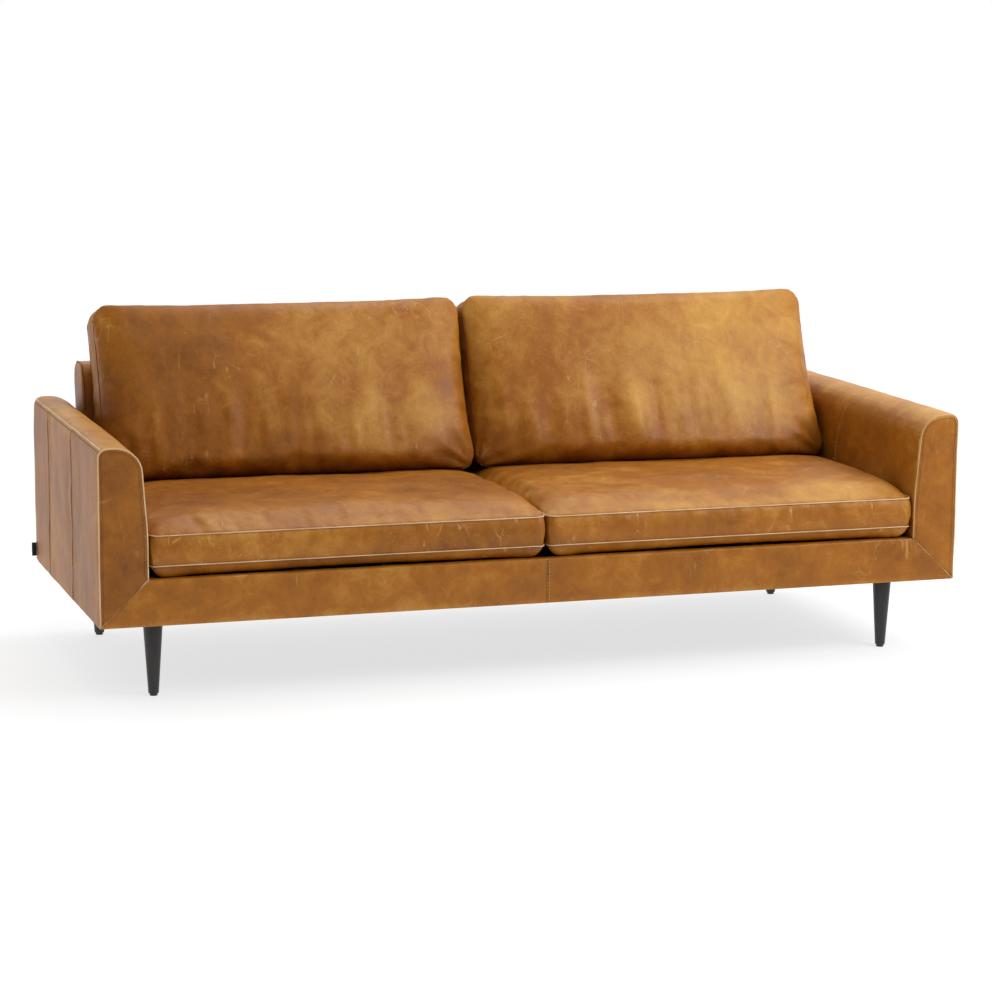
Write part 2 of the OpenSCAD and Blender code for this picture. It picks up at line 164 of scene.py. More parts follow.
def tan_leather(name, shift, tone=0.0, scuffs=1.0, folds=1.0):
    """Waxed pull-up leather: tonal patches, mottling, pale scuffs, pores and fine creases."""
    made, tree, skin = new_material(name)
    place = mapped(tree, shift)
    patches = noise_on(tree, place, 3.2, 5, 0.6, 0.4)
    mottle = noise_on(tree, place, 17, 8, 0.66, 0.6)
    grit = noise_on(tree, place, 120, 5, 0.7)
    # Two vertex attributes from the pieces: wear with painted highlights, which makes the leather paler, and
    # painted shade, which darkens it along seams and at the back cushions' foot.
    wear_and_painted_light, painted_shade = (add(tree, "ShaderNodeAttribute", attribute_name=kept).outputs["Fac"]
                  for kept in ("wear_and_painted_light", "painted_shade"))
    depth = summed(tree, (patches, 0.85), (mottle, 0.62), (grit, 0.22), (wear_and_painted_light, 0.3), (painted_shade, -0.34))
    depth = maths(tree, "ADD", depth, tone - 0.375)
    shade = ramp(tree, depth, ((0.08, DEEP), (0.5, TAN), (0.95, PALE)), smooth=False)
    # Scuffs: pale upright rub marks and specks, gathered in a few areas
    upright = mapped(tree, (shift[1], shift[2], shift[0]), (1, 1, 0.2), (0.05, 0.08, 0.3))
    marks = ramp(tree, noise_on(tree, upright, 64, 4, 0.62, 0.2), ((0.60, 0.0), (0.74, 1.0)))
    specks = ramp(tree, noise_on(tree, place, 210, 2, 0.5), ((0.66, 0.0), (0.76, 1.0)))
    areas = ramp(tree, noise_on(tree, place, 7.5, 4, 0.55), ((0.46, 0.0), (0.64, 1.0)))
    # Cracks in the wax: thin wandering lines, broken into short lengths
    steep = mapped(tree, shift, (1, 1, 0.38), (0.1, 0.15, 0.3))
    warp = noise_on(tree, steep, 9, 3).node.outputs["Color"]
    wander = mixed(tree, 0.045, steep, warp, "ADD")
    edges = textured(tree, "Voronoi", wander, "Distance", Scale=13.0, feature="DISTANCE_TO_EDGE")
    cracks = ramp(tree, edges, ((0.0, 0.62), (0.018, 0.0)))
    lengths = ramp(tree, noise_on(tree, place, 15, 2), ((0.52, 0.0), (0.64, 1.0)))
    lines = maths(tree, "MAXIMUM", marks, specks)
    lines = maths(tree, "MAXIMUM", lines, maths(tree, "MULTIPLY", cracks, lengths))
    lines = maths(tree, "MULTIPLY", maths(tree, "MULTIPLY", lines, areas), 0.42 * scuffs)
    tree.links.new(mixed(tree, lines, shade, SCUFFED), skin.inputs["Base Color"])
    tree.links.new(maths(tree, "MULTIPLY_ADD", mottle, 0.26, 0.33), skin.inputs["Roughness"])
    pores = textured(tree, "Voronoi", place, "Distance", Scale=560.0)
    creases = noise_on(tree, place, 75, 7, 0.62, 0.8)
    dents = noise_on(tree, place, 13, 4, 0.5, 0.3)
    height = summed(tree, (pores, 0.00025), (creases, 0.0011), (dents, 0.0052 * folds))
    bumped(tree, skin, height, 0.75, 1.0)
    for socket, value in (("Specular IOR Level", 0.27), ("Coat Weight", 0.05), ("Coat Roughness", 0.32)):
        skin.inputs[socket].default_value = value
    return made


def grained_wood(name, dark, light, rough, scale=(30, 30, 2.2)):
    """Wood whose grain runs along the axis with the smallest scale."""
    made, tree, skin = new_material(name)
    place = mapped(tree, (0.3, 0.7, 0.1), scale)
    rings = noise_on(tree, place, 3.0, 8, 0.6, 1.5)
    grain = summed(tree, (rings, 0.7), (noise_on(tree, place, 22, 4, 0.6), 0.3))
    painted(tree, skin, grain, 0.35, dark, 0.65, light)
    skin.inputs["Roughness"].default_value = rough
    bumped(tree, skin, grain, 0.35, 0.0006)
    return made


def woven(name, dark, light, pitch=900.0, rough=0.85):
    made, tree, skin = new_material(name)
    place = mapped(tree)
    warp, weft = (textured(tree, "Wave", place, "Fac", Scale=pitch / 6.3, bands_direction=way, Distortion=0.3)
                  for way in "XY")
    weave = maths(tree, "MAXIMUM", warp, weft)
    flecks = noise_on(tree, place, 60, 4, 0.6)
    painted(tree, skin, maths(tree, "MULTIPLY", weave, flecks), 0.15, dark, 0.7, light)
    skin.inputs["Roughness"].default_value = rough
    bumped(tree, skin, weave, 0.5, 0.0004)
    return made


def porous(name, dark, light, scale=420.0, rough=0.9):
    made, tree, skin = new_material(name)
    place = mapped(tree)
    cells = textured(tree, "Voronoi", place, "Distance", Scale=scale)
    pitted = summed(tree, (cells, 0.6), (noise_on(tree, place, 6, 4, 0.6), 0.5))
    painted(tree, skin, pitted, 0.2, dark, 0.75, light)
    skin.inputs["Roughness"].default_value = rough
    bumped(tree, skin, pitted, 0.5, 0.0008)
    return made


def plated(name, dark, light, metal=1.0, rough=0.34):
    made, tree, skin = new_material(name)
    cloud = noise_on(tree, mapped(tree), 40, 6, 0.6)
    painted(tree, skin, cloud, 0.3, dark, 0.7, light)
    tree.links.new(maths(tree, "MULTIPLY_ADD", cloud, 0.2, rough - 0.1), skin.inputs["Roughness"])
    skin.inputs["Metallic"].default_value = metal
    return made


def thread(name, dark, light):
    made, tree, skin = new_material(name)
    place = mapped(tree)
    twist = textured(tree, "Wave", place, "Fac", Scale=160.0, bands_direction="DIAGONAL", Distortion=1.0)
    soiled = summed(tree, (twist, 0.25), (noise_on(tree, place, 9, 5, 0.6), 0.8))
    painted(tree, skin, soiled, 0.3, dark, 0.75, light)
    skin.inputs["Roughness"].default_value = 0.62
    return made


# Each cut of leather: where its pattern starts, how pale, how scuffed, how dented
# The left-hand cuts (front, seat_b, pillow) are set darker than their right-hand copies (front_b, seat,
# pillow_b): painted shade on the left and painted light on the right, where the key lamp is.
CUTS = {
    "side": ((3.1, 0.7, 1.9), -0.03, 1.0, 1.0),
    "side_b": ((6.3, 2.2, 0.4), 0.02, 1.0, 1.0),
    "wrap": ((1.3, 5.1, 2.6), 0.0, 0.9, 1.0),
    "front": ((7.7, 3.3, 4.2), -0.27, 1.1, 0.8),
    "front_b": ((2.9, 0.6, 8.4), -0.17, 0.7, 0.8),
    "rail": ((2.4, 8.2, 5.7), -0.02, 0.5, 0.9),
    "back": ((9.1, 1.4, 3.0), -0.04, 0.8, 1.0),
    "seat": ((4.6, 6.6, 7.1), 0.02, 1.3, 1.0),
    "seat_b": ((1.7, 3.9, 9.2), -0.08, 1.3, 1.0),
    "boxing": ((8.8, 4.4, 6.3), 0.0, 1.5, 0.8),
    "pillow": ((5.2, 9.7, 1.1), -0.03, 1.0, 0.8),
    "pillow_b": ((0.8, 7.4, 8.3), 0.05, 1.0, 0.8),
}
LEATHER = {cut: tan_leather(f"leather_{cut}", *values) for cut, values in CUTS.items()}
PIPING = thread("pale_piping", (0.50, 0.30, 0.12), (0.80, 0.60, 0.34))
DARK_PIPING = thread("dark_piping", (0.10, 0.034, 0.006), (0.22, 0.085, 0.018))
TAN_PIPING = thread("tan_piping", (0.40, 0.20, 0.06), (0.62, 0.38, 0.16))
THREAD = thread("cream_thread", (0.66, 0.52, 0.34), (0.92, 0.84, 0.68))

FINISHES = {
    "tan_leather": LEATHER["wrap"],
    "black_stained_wood": grained_wood(
        "black_stained_wood", (0.006, 0.005, 0.005), (0.022, 0.018, 0.016), 0.38),
    "pine": grained_wood("pine", (0.50, 0.30, 0.13), (0.80, 0.58, 0.32), 0.62, (2.2, 30, 30)),
    "plywood": grained_wood("plywood", (0.42, 0.26, 0.13), (0.66, 0.46, 0.26), 0.6, (30, 2.2, 30)),
    "hardboard": porous("hardboard", (0.13, 0.07, 0.035), (0.26, 0.15, 0.08), 900, 0.7),
    "steel": plated("zinc_plated_steel", (0.42, 0.43, 0.45), (0.66, 0.67, 0.68)),
    "black_cloth": woven("black_cloth", (0.008, 0.008, 0.009), (0.03, 0.03, 0.032)),
    "label_fabric": woven("label_fabric", (0.006, 0.006, 0.007), (0.022, 0.022, 0.024), 1600),
    "foam": porous("cut_foam", (0.62, 0.50, 0.25), (0.86, 0.76, 0.48)),
    "fibre_fill": porous("fibre_fill", (0.68, 0.68, 0.66), (0.88, 0.88, 0.86), 90),
    "nylon": plated("nylon", (0.012, 0.012, 0.013), (0.03, 0.03, 0.03), 0.0, 0.5),
    "zip": woven("zip_tape", (0.05, 0.022, 0.009), (0.14, 0.065, 0.026), 1300, 0.8),
}


# ---------- mesh tools ----------

def drift(seed, point, scale, octaves=3):
    """Smooth noise from about -1 to 1 at a point, different for each seed."""
    start = Vector((seed * 7.31, seed * 3.17, seed * 5.73))
    return noise.fractal(Vector(point) * scale + start, 1.0, 2.0, octaves)


def ease(t):
    t = max(0.0, min(1.0, t))
    return t * t * (3 - 2 * t)


def near(distance, width):
    return exp(-(distance / width) ** 2)


def side_of(distance):
    return 1 if distance > 0 else -1


def hump(t):
    """Rises from 0 to 1 and falls back to 0 as t goes from 0 to 1."""
    return sin(pi * max(0.0, min(1.0, t)))


def everything(bm):
    return bm.verts[:] + bm.edges[:] + bm.faces[:]


def slices(bm, axis, cuts):
    """Cuts the mesh across at each place along an axis, so that it can bend there."""
    direction = Vector((0, 0, 0))
    direction[axis] = 1
    for cut in cuts:
        bmesh.ops.bisect_plane(bm, geom=everything(bm), dist=1e-5,
                               plane_co=direction * cut, plane_no=direction)


def hold_mitre(bm, sign, into):
    """Cuts beside the diagonal joint between arm and rail, so that smoothing doesn't open it."""
    across = Vector((sign * MITRE_RUN, 0, ARM_T)).normalized()
    for step in (0.0012, 0.005):
        bmesh.ops.bisect_plane(bm, geom=everything(bm), plane_no=across, dist=1e-5,
                               plane_co=Vector((sign * INNER_X, 0, DECK_Z)) + across * step * into)


def arc(centre, radius, low, high, steps):
    """Points along part of a circle, from one angle to another."""
    turns = [low + (high - low) * k / steps for k in range(steps + 1)]
    return [(centre[0] + radius * cos(a), centre[1] + radius * sin(a)) for a in turns]


def evenly(low, high, step):
    count = max(1, round((high - low) / step))
    return [low + (high - low) * i / count for i in range(1, count)]


def prism(outline, low, high, axis):
    """A closed bar: the outline in the other two axes, drawn out along this one."""
    bm = bmesh.new()
    others = [i for i in range(3) if i != axis]
    corners = []
    for a, b in outline:
        place = [0, 0, 0]
        place[others[0]], place[others[1]], place[axis] = a, b, low
        corners.append(bm.verts.new(place))
    face = bm.faces.new(corners)
    step = Vector((0, 0, 0))
    step[axis] = high - low
    out = bmesh.ops.extrude_face_region(bm, geom=[face])
    moved = [v for v in out["geom"] if isinstance(v, bmesh.types.BMVert)]
    bmesh.ops.translate(bm, vec=step, verts=moved)
    bmesh.ops.recalc_face_normals(bm, faces=bm.faces[:])
    return bm


def round_edges(bm, chosen, radius, segments):
    bmesh.ops.bevel(bm, geom=[e for e in bm.edges if chosen(e)], offset=radius, offset_type="OFFSET",
                    segments=segments, profile=0.5, affect="EDGES", material=-1, clamp_overlap=True)


def level_run(edge):
    """Picks the edges that lie level."""
    return abs(edge.verts[0].co.z - edge.verts[1].co.z) < 1e-5


def few_sided(bm):
    """Splits the faces of more than four sides into triangles."""
    bmesh.ops.triangulate(bm, faces=[f for f in bm.faces if len(f.verts) > 4])


def along(axis):
    """Picks the edges that run along an axis."""
    def test(edge):
        d = edge.verts[0].co - edge.verts[1].co
        return abs(d[axis]) > 0.02 and abs(d[axis]) > 0.98 * d.length
    return test


def make(name, bm, materials, body, stands_for=(), smooth=True):
    mesh = bpy.data.meshes.new(name)
    bm.to_mesh(mesh)
    bm.free()
    for material in materials:
        mesh.materials.append(material)
    for polygon in mesh.polygons:
        polygon.use_smooth = smooth
    piece = bpy.data.objects.new(name, mesh)
    scene.collection.objects.link(piece)
    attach(piece, body)
    if stands_for:
        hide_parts(*stands_for)
    return piece


def finer(piece, levels=1):
    """The piece's own mesh, subdivided and smoothed."""
    rounding = piece.modifiers.new("rounding", "SUBSURF")
    rounding.levels = rounding.render_levels = levels
    bpy.context.view_layer.update()
    held = piece.evaluated_get(bpy.context.evaluated_depsgraph_get())
    mesh = bpy.data.meshes.new_from_object(held)
    mesh.name = piece.name
    piece.modifiers.remove(rounding)
    piece.data = mesh
    return piece


def reshape(piece, move):
    """Moves every vertex by move(co, normal), and keeps the mesh's own list of vertices."""
    mesh = piece.data
    normals = [v.normal.copy() for v in mesh.vertices]
    for v, n in zip(mesh.vertices, normals):
        v.co = move(v.co, n)
    mesh.update()
    return piece


def mark(piece, name, value):
    """Stores value(co, normal) at each vertex, for the leather to read."""
    mesh = piece.data
    kept = mesh.attributes.get(name) or mesh.attributes.new(name, "FLOAT", "POINT")
    kept.data.foreach_set("value", [float(value(v.co, v.normal)) for v in mesh.vertices])


def surface_of(piece):
    mesh = piece.data
    corners = [v.co.copy() for v in mesh.vertices]
    return BVHTree.FromPolygons(corners, [p.vertices[:] for p in mesh.polygons])


def walk(points, step, closed=False):
    """The same path again with points an even step apart."""
    points = [Vector(p) for p in points]
    if closed:
        points.append(points[0].copy())
    lengths = [0.0]
    for a, b in zip(points, points[1:]):
        lengths.append(lengths[-1] + (b - a).length)
    count = max(2, round(lengths[-1] / step))
    out, k = [], 0
    for i in range(count if closed else count + 1):
        at = lengths[-1] * i / count
        while k < len(points) - 2 and lengths[k + 1] < at:
            k += 1
        span = lengths[k + 1] - lengths[k]
        out.append(points[k].lerp(points[k + 1], (at - lengths[k]) / span if span else 0))
    return out


def laid(points, surface, lift=0.0):
    """Each point moved onto the surface, with the way out of it there."""
    out = []
    for p in points:
        place, normal, _, _ = surface.find_nearest(p)
        out.append((place + normal * lift, normal))
    return out


def tube(name, path, radius, material, body, closed=False, sides=8):
    """A welt: a round cord along a path of (place, outward) pairs."""
    bm = bmesh.new()
    rings = []
    count = len(path)
    for i, (place, outward) in enumerate(path):
        ahead = path[(i + 1) % count][0] if closed or i < count - 1 else place
        behind = path[i - 1][0] if closed or i else place
        way = (ahead - behind).normalized()
        across = way.cross(outward).normalized()
        frame_here = Matrix((across, outward - way * outward.dot(way), way)).transposed().to_4x4()
        frame_here.translation = place
        out = bmesh.ops.create_circle(bm, cap_ends=False, segments=sides, radius=radius, matrix=frame_here)
        rings.append(out["verts"])
    pairs = list(zip(rings, rings[1:])) + ([(rings[-1], rings[0])] if closed else [])
    for a, b in pairs:
        for j in range(sides):
            bm.faces.new((a[j], a[(j + 1) % sides], b[(j + 1) % sides], b[j]))
    if not closed:
        bm.faces.new(rings[0][::-1])
        bm.faces.new(rings[-1])
    bmesh.ops.recalc_face_normals(bm, faces=bm.faces[:])
    return make(name, bm, [material], body)


def stitch_row(name, rows, body, length=0.0062, width=0.00125, material=None):
    """Stitches of thread lying along each path of (place, outward) pairs."""
    bm = bmesh.new()
    for row in rows:
        for (place, outward), (ahead, _) in zip(row, row[1:]):
            way = (ahead - place).normalized()
            across = way.cross(outward).normalized()
            turn = Matrix((way * length / 2, across * width, outward * width * 0.8)).transposed().to_4x4()
            turn.translation = (place + ahead) / 2
            bmesh.ops.create_icosphere(bm, subdivisions=1, radius=1, matrix=turn)
    bmesh.ops.recalc_face_normals(bm, faces=bm.faces[:])
    return make(name, bm, [material or THREAD], body)


def swell(piece, holds, pressure=4.0, cap=0.012, slack=0.0, frames=20):
    """Blows the closed skin up as cloth under pressure, held where it is sewn, and keeps the result."""
    mesh = piece.data
    start = [v.co.copy() for v in mesh.vertices]
    group = piece.vertex_groups.new(name="sewn")
    for i, hold in enumerate(holds):
        if hold > 0:
            group.add([i], hold, "REPLACE")
    cloth = piece.modifiers.new("swelling", "CLOTH")
    cloth.settings.quality = 5
    cloth.settings.mass = 0.4
    cloth.settings.tension_stiffness = cloth.settings.compression_stiffness = 18
    cloth.settings.shear_stiffness = 8
    cloth.settings.bending_stiffness = 1.2
    cloth.settings.shrink_min = -slack
    cloth.settings.use_pressure = True
    cloth.settings.uniform_pressure_force = pressure
    cloth.settings.effector_weights.gravity = 0
    cloth.settings.vertex_group_mass = "sewn"
    cloth.settings.pin_stiffness = 6
    cloth.collision_settings.use_collision = False
    cloth.point_cache.frame_start, cloth.point_cache.frame_end = 1, frames
    for f in range(1, frames + 1):
        scene.frame_set(f)
    held = piece.evaluated_get(bpy.context.evaluated_depsgraph_get())
    swollen = [v.co.copy() for v in held.data.vertices]
    piece.modifiers.remove(cloth)
    piece.vertex_groups.clear()
    for v, a, b in zip(mesh.vertices, start, swollen):
        step = b - a
        if step.length > cap:
            step *= cap / step.length
        v.co = a + step
    mesh.update()
    scene.frame_set(1)
    return piece


# ---------- arms ----------

SEAM_Y = (-0.111, 0.222)


def arm_cover(side):
    sign = -1 if side == "left" else 1
    outer, inner = sign * SIDE_X, sign * INNER_X
    top_in = sign * (INNER_X + ARM_TAPER)
    outline = [(outer, UNDER_Z), (inner, DECK_Z), (inner, ARM_BEND), (top_in, ARM_Z), (outer, ARM_Z)]
    bm = prism(outline, FRONT_Y, REAR_Y, 1)
    runs = along(1)

    def at(x, z):
        return lambda e: runs(e) and abs(e.verts[0].co.x - x) < 1e-4 and abs(e.verts[0].co.z - z) < 1e-4
    round_edges(bm, at(top_in, ARM_Z), ARM_ROLL, 10)
    round_edges(bm, at(outer, ARM_Z), ARM_EDGE, 5)
    round_edges(bm, at(inner, ARM_BEND), 0.04, 3)
    round_edges(bm, lambda e: len(e.link_faces) == 2 and e.calc_face_angle(0) > 1.2 and (
        abs(e.verts[0].co.y - e.verts[1].co.y) < 1e-5), 0.006, 3)
    fine = [-0.014, -0.007, -0.0035, 0, 0.0035, 0.007, 0.014]
    cuts = [y for y in evenly(FRONT_Y, REAR_Y, GRID) if all(abs(y - s) > 0.018 for s in SEAM_Y)]
    cuts += [s + f for s in SEAM_Y for f in fine] + [FRONT_Y + 0.006, REAR_Y - 0.006]
    slices(bm, 1, sorted(cuts))
    slices(bm, 0, [sign * x for x in evenly(INNER_X, SIDE_X, GRID)])
    slices(bm, 2, evenly(UNDER_Z, ARM_Z - 0.03, GRID))
    hold_mitre(bm, sign, 1)
    few_sided(bm)
    skins = [LEATHER[cut] for cut in ("wrap", "side", "side_b", "front" if sign < 0 else "front_b")]
    panels = [f"arm_{part}_{side}" for part in ("wrap", "side_panel", "front_panel", "rear_panel")]
    cover = make(f"arm_cover_{side}", bm, skins, "frame", panels)
    seed = 3 if sign < 0 else 11

    def dress(co, n):
        out = 0.0
        side_on = ease((n.x * sign - 0.5) * 3)
        if side_on:
            for s in SEAM_Y:
                ridges, groove = near(abs(co.y - s) - 0.012, 0.009), near(co.y - s, 0.0040)
                out += side_on * (0.0016 * ridges - 0.0021 * groove)
            nearest = min(abs(co.y - s) for s in SEAM_Y)
            out += side_on * 0.0022 * ease(nearest / 0.09) * hump((co.z - UNDER_Z) / (ARM_Z - UNDER_Z))
            out += side_on * 0.0022 * drift(seed, (co.y * 2.4, co.z * 0.9, 0), 4.5)
            out += side_on * 0.0016 * near(nearest, 0.05) * drift(seed + 1, (co.y * 2, co.z, 0), 22, 2)
        out += 0.0013 * drift(seed + 2, co, 8) + 0.0005 * drift(seed + 3, co, 30, 2)
        rest_y = abs(co.y) / REAR_Y
        if abs(n.y) > 0.7:
            d_in = min(abs(abs(co.x) - INNER_X), abs(abs(co.x) - SIDE_X), abs(co.z - ARM_Z))
            out += 0.003 * ease(d_in / 0.05) - 0.0002 + 0.0012 * drift(seed + 4, co, 14)
        elif rest_y > 0.94:
            out += -0.0012 * ease((rest_y - 0.94) / 0.05)
        to_rear = (co.y - FRONT_Y) / (REAR_Y - FRONT_Y)
        fuller = Vector((0, 0, 0.0065 * sqrt(max(0.0, to_rear)) * ease((co.z - 0.45) / 0.15)))
        return co + n * max(out, -0.0012) + fuller
    reshape(cover, dress)
    for polygon in cover.data.polygons:
        c, n = polygon.center, polygon.normal
        if abs(n.y) > 0.72:
            polygon.material_index = 3
        elif n.x * sign > 0.75 and c.z < ARM_Z - 0.008:
            polygon.material_index = 2 if SEAM_Y[0] < c.y < SEAM_Y[1] else 1
    finer(cover)
    # Paler along the top where it faces up: wear, and a painted highlight of the light on the top. Also paler
    # along the rear edge, from wear.
    mark(cover, "wear_and_painted_light", lambda co, n: 0.75 * near(co.z - ARM_Z, 0.02) * max(0, n.z) ** 0.5
         + 0.4 * near(abs(co.y) - REAR_Y, 0.008))
    # Painted shade: darker along the outer side seams, for the shadow lines beside them.
    mark(cover, "painted_shade", lambda co, n: 0.55 * max(0.0, n.x * sign) * (
        sum(near(co.y - s, 0.004) for s in SEAM_Y)))
    return cover


def arm_outline(side, y):
    """The arm's section at its skin, from the deck up over the top and down to the base."""
    sign = -1 if side == "left" else 1
    path = [(INNER_X, DECK_Z), (INNER_X, DECK_Z + 0.09), (INNER_X + 0.001, DECK_Z + 0.12)]
    path += arc((INNER_X + ARM_TAPER + ARM_ROLL, ARM_Z - ARM_ROLL), ARM_ROLL, pi, pi / 2, 9)
    path += arc((SIDE_X - ARM_EDGE, ARM_Z - ARM_EDGE), ARM_EDGE, pi / 2, 0, 5)
    path.append((SIDE_X, UNDER_Z + 0.004))
    return [(sign * x, y, z) for x, z in path]


def end_welt(name, outline, facing, step, lift, radius, material, skin):
    """A welt round an arm's end panel, standing out from the corner. Gives its path."""
    path = []
    for p in walk(outline, step):
        place, normal, _, _ = skin.find_nearest(p)
        outward = (Vector((0, facing, 0)) + normal * 0.6).normalized()
        path.append((place + outward * lift, outward))
    tube(name, path, radius, material, "frame")
    return path


def arm_seams(side, cover):
    sign = -1 if side == "left" else 1
    skin = surface_of(cover)
    front = end_welt(f"arm_front_welt_{side}", arm_outline(side, FRONT_Y), -1, 0.008, 0.0006, 0.0019,
                     PIPING if sign < 0 else TAN_PIPING, skin)
    # Stitches on the front panel, a little in from its welt, in the dark piping finish: thread, and a painted
    # shadow line inside the welt
    centre_x = sign * (INNER_X + ARM_T * 0.55)
    inset = []
    for place, _ in front:
        drop = ARM_Z - 0.08 - place.z if place.z > ARM_Z - 0.07 else 0
        p = place + Vector((centre_x - place.x, 0, drop)).normalized() * 0.0075
        p.y = FRONT_Y - 0.01
        spot, normal, _, _ = skin.find_nearest(p)
        if spot.z > DECK_Z + 0.004 or spot.x * sign > INNER_X + ARM_T * 0.5:
            inset.append((spot + normal * 0.0005, normal))
    stitch_row(f"arm_front_stitches_{side}", [inset], "frame", width=0.0009, material=DARK_PIPING)
    # Top outer seam from front to back
    seam_turn = radians(52)
    seam_x = sign * (SIDE_X - ARM_EDGE * (1 - cos(seam_turn)))
    seam_z = ARM_Z - ARM_EDGE * (1 - sin(seam_turn))
    places = [FRONT_Y + 0.004 + i * 0.0089 for i in range(101)]
    top = laid([(seam_x, y, seam_z) for y in places if y < REAR_Y - 0.004], skin, 0.0004)
    tube(f"arm_top_welt_{side}", top, 0.0019, PIPING, "frame")
    rows = [laid([p + Vector((sign * 0.002, 0, -0.0072)) for p, _ in top], skin, 0.0005)]
    # Vertical panel seams on the outer side
    for s in SEAM_Y:
        heights = evenly(UNDER_Z, ARM_Z - 0.02, 0.0085)
        rows.append(laid([Vector((sign * (SIDE_X + 0.01), s + 0.0058, z)) for z in heights], skin, 0.0003))
    # The side stitches use the dark piping finish too: thread, and the painted shadow line beneath the top
    # welt.
    stitch_row(f"arm_side_stitches_{side}", rows, "frame", width=0.0009, material=DARK_PIPING)
    # Curved seam on the inner face and over the top, near the front
    curve = [(0.030, 0.43), (0.029, 0.485), (0.013, 0.541), (-0.008, 0.585), (-0.030, 0.606), (-0.046, 0.617)]
    path = []
    for y, z in curve:
        t = (z - 0.40) / (ARM_Z - 0.40)
        path.append((sign * (INNER_X + ARM_TAPER * max(0, t)), y, z))
    path.append((sign * (INNER_X + 0.06), -0.056, ARM_Z))
    path.append((sign * (SIDE_X - 0.012), -0.062, ARM_Z))
    inside = laid(walk(path, 0.0085), skin, 0.0004)
    stitch_row(f"arm_inner_stitches_{side}", [inside], "frame", material=PIPING, width=0.0010)
    end_welt(f"arm_rear_welt_{side}", arm_outline(side, REAR_Y), 1, 0.009, 0.0005, 0.0022, PIPING, skin)


for side in ("left", "right"):
    arm_seams(side, arm_cover(side))


# ---------- front rail ----------

def front_rail():
    depth = RAIL_HI.y - RAIL_LO.y
    outline = [(-SIDE_X, UNDER_Z), (SIDE_X, UNDER_Z), (INNER_X, DECK_Z), (-INNER_X, DECK_Z)]
    bm = prism(outline, FRONT_Y, FRONT_Y + depth, 1)
    run = along(0)
    round_edges(bm, lambda e: run(e) and abs(e.verts[0].co.y - FRONT_Y) < 1e-4, 0.0055, 3)
    fine = [-0.012, -0.006, -0.003, 0, 0.003, 0.006, 0.012]
    xs = [x for x in evenly(-SIDE_X, SIDE_X, GRID) if abs(x) > 0.016]
    slices(bm, 0, sorted(xs + fine))
    slices(bm, 2, evenly(UNDER_Z + 0.006, DECK_Z - 0.006, GRID))
    hold_mitre(bm, -1, -1)
    hold_mitre(bm, 1, -1)
    few_sided(bm)
    cover = make("rail_cover", bm, [LEATHER["rail"], LEATHER["back"]], "frame",
                 ["front_rail_cover"])

    def dress(co, n):
        out = 0.0
        if n.y < -0.5:
            out = 0.0024 * hump((co.z - UNDER_Z) / MITRE_RUN) * ease(abs(co.x) / 0.06)
            out += 0.0016 * drift(21, (co.x * 1.6, co.z, 0), 9) + 0.0006 * drift(22, co, 34, 2)
            out -= 0.0022 * near(co.x, 0.0035)
            out += 0.0012 * near(abs(co.x), 0.04) * drift(23, (co.x * 3, 0, co.z * 0.6), 26, 2)
            edge = min(co.z - UNDER_Z, SIDE_X - abs(co.x))
            out = max(out, -0.001) * ease(edge / 0.02)
        return co + n * out
    reshape(cover, dress)
    for polygon in cover.data.polygons:
        polygon.material_index = 1 if polygon.center.x > 0 else 0
    finer(cover)
    mark(cover, "wear_and_painted_light", lambda co, n: 0.4 * near(co.z - UNDER_Z, 0.012) + 0.2 * near(co.z - DECK_Z, 0.01))
    # Painted shade: darker along the centre seam's groove.
    mark(cover, "painted_shade", lambda co, n: 0.5 * near(co.x, 0.0035))
    skin = surface_of(cover)
    for sign, side in ((-1, "left"), (1, "right")):
        ends = (sign * (SIDE_X - 0.002), FRONT_Y, UNDER_Z + 0.003), (sign * INNER_X, FRONT_Y, DECK_Z)
        line = walk(ends, 0.008)
        path = [(Vector((p.x, FRONT_Y - 0.0006, p.z)), Vector((0, -1, 0))) for p in line]
        tube(f"mitre_welt_{side}", path, 0.0008, TAN_PIPING, "frame")
    middle = walk([(0.0052, FRONT_Y - 0.002, z) for z in (UNDER_Z + 0.006, DECK_Z - 0.006)], 0.0085)
    stitch_row("rail_centre_stitches", [laid(middle, skin, 0.0001)], "frame", 0.0058, 0.0008, PIPING)


front_rail()


# ---------- back ----------

BACK_TOP_FRONT = REAR_Y - 0.103
BACK_ROUND = 0.03
BACK_GRID = 0.0155


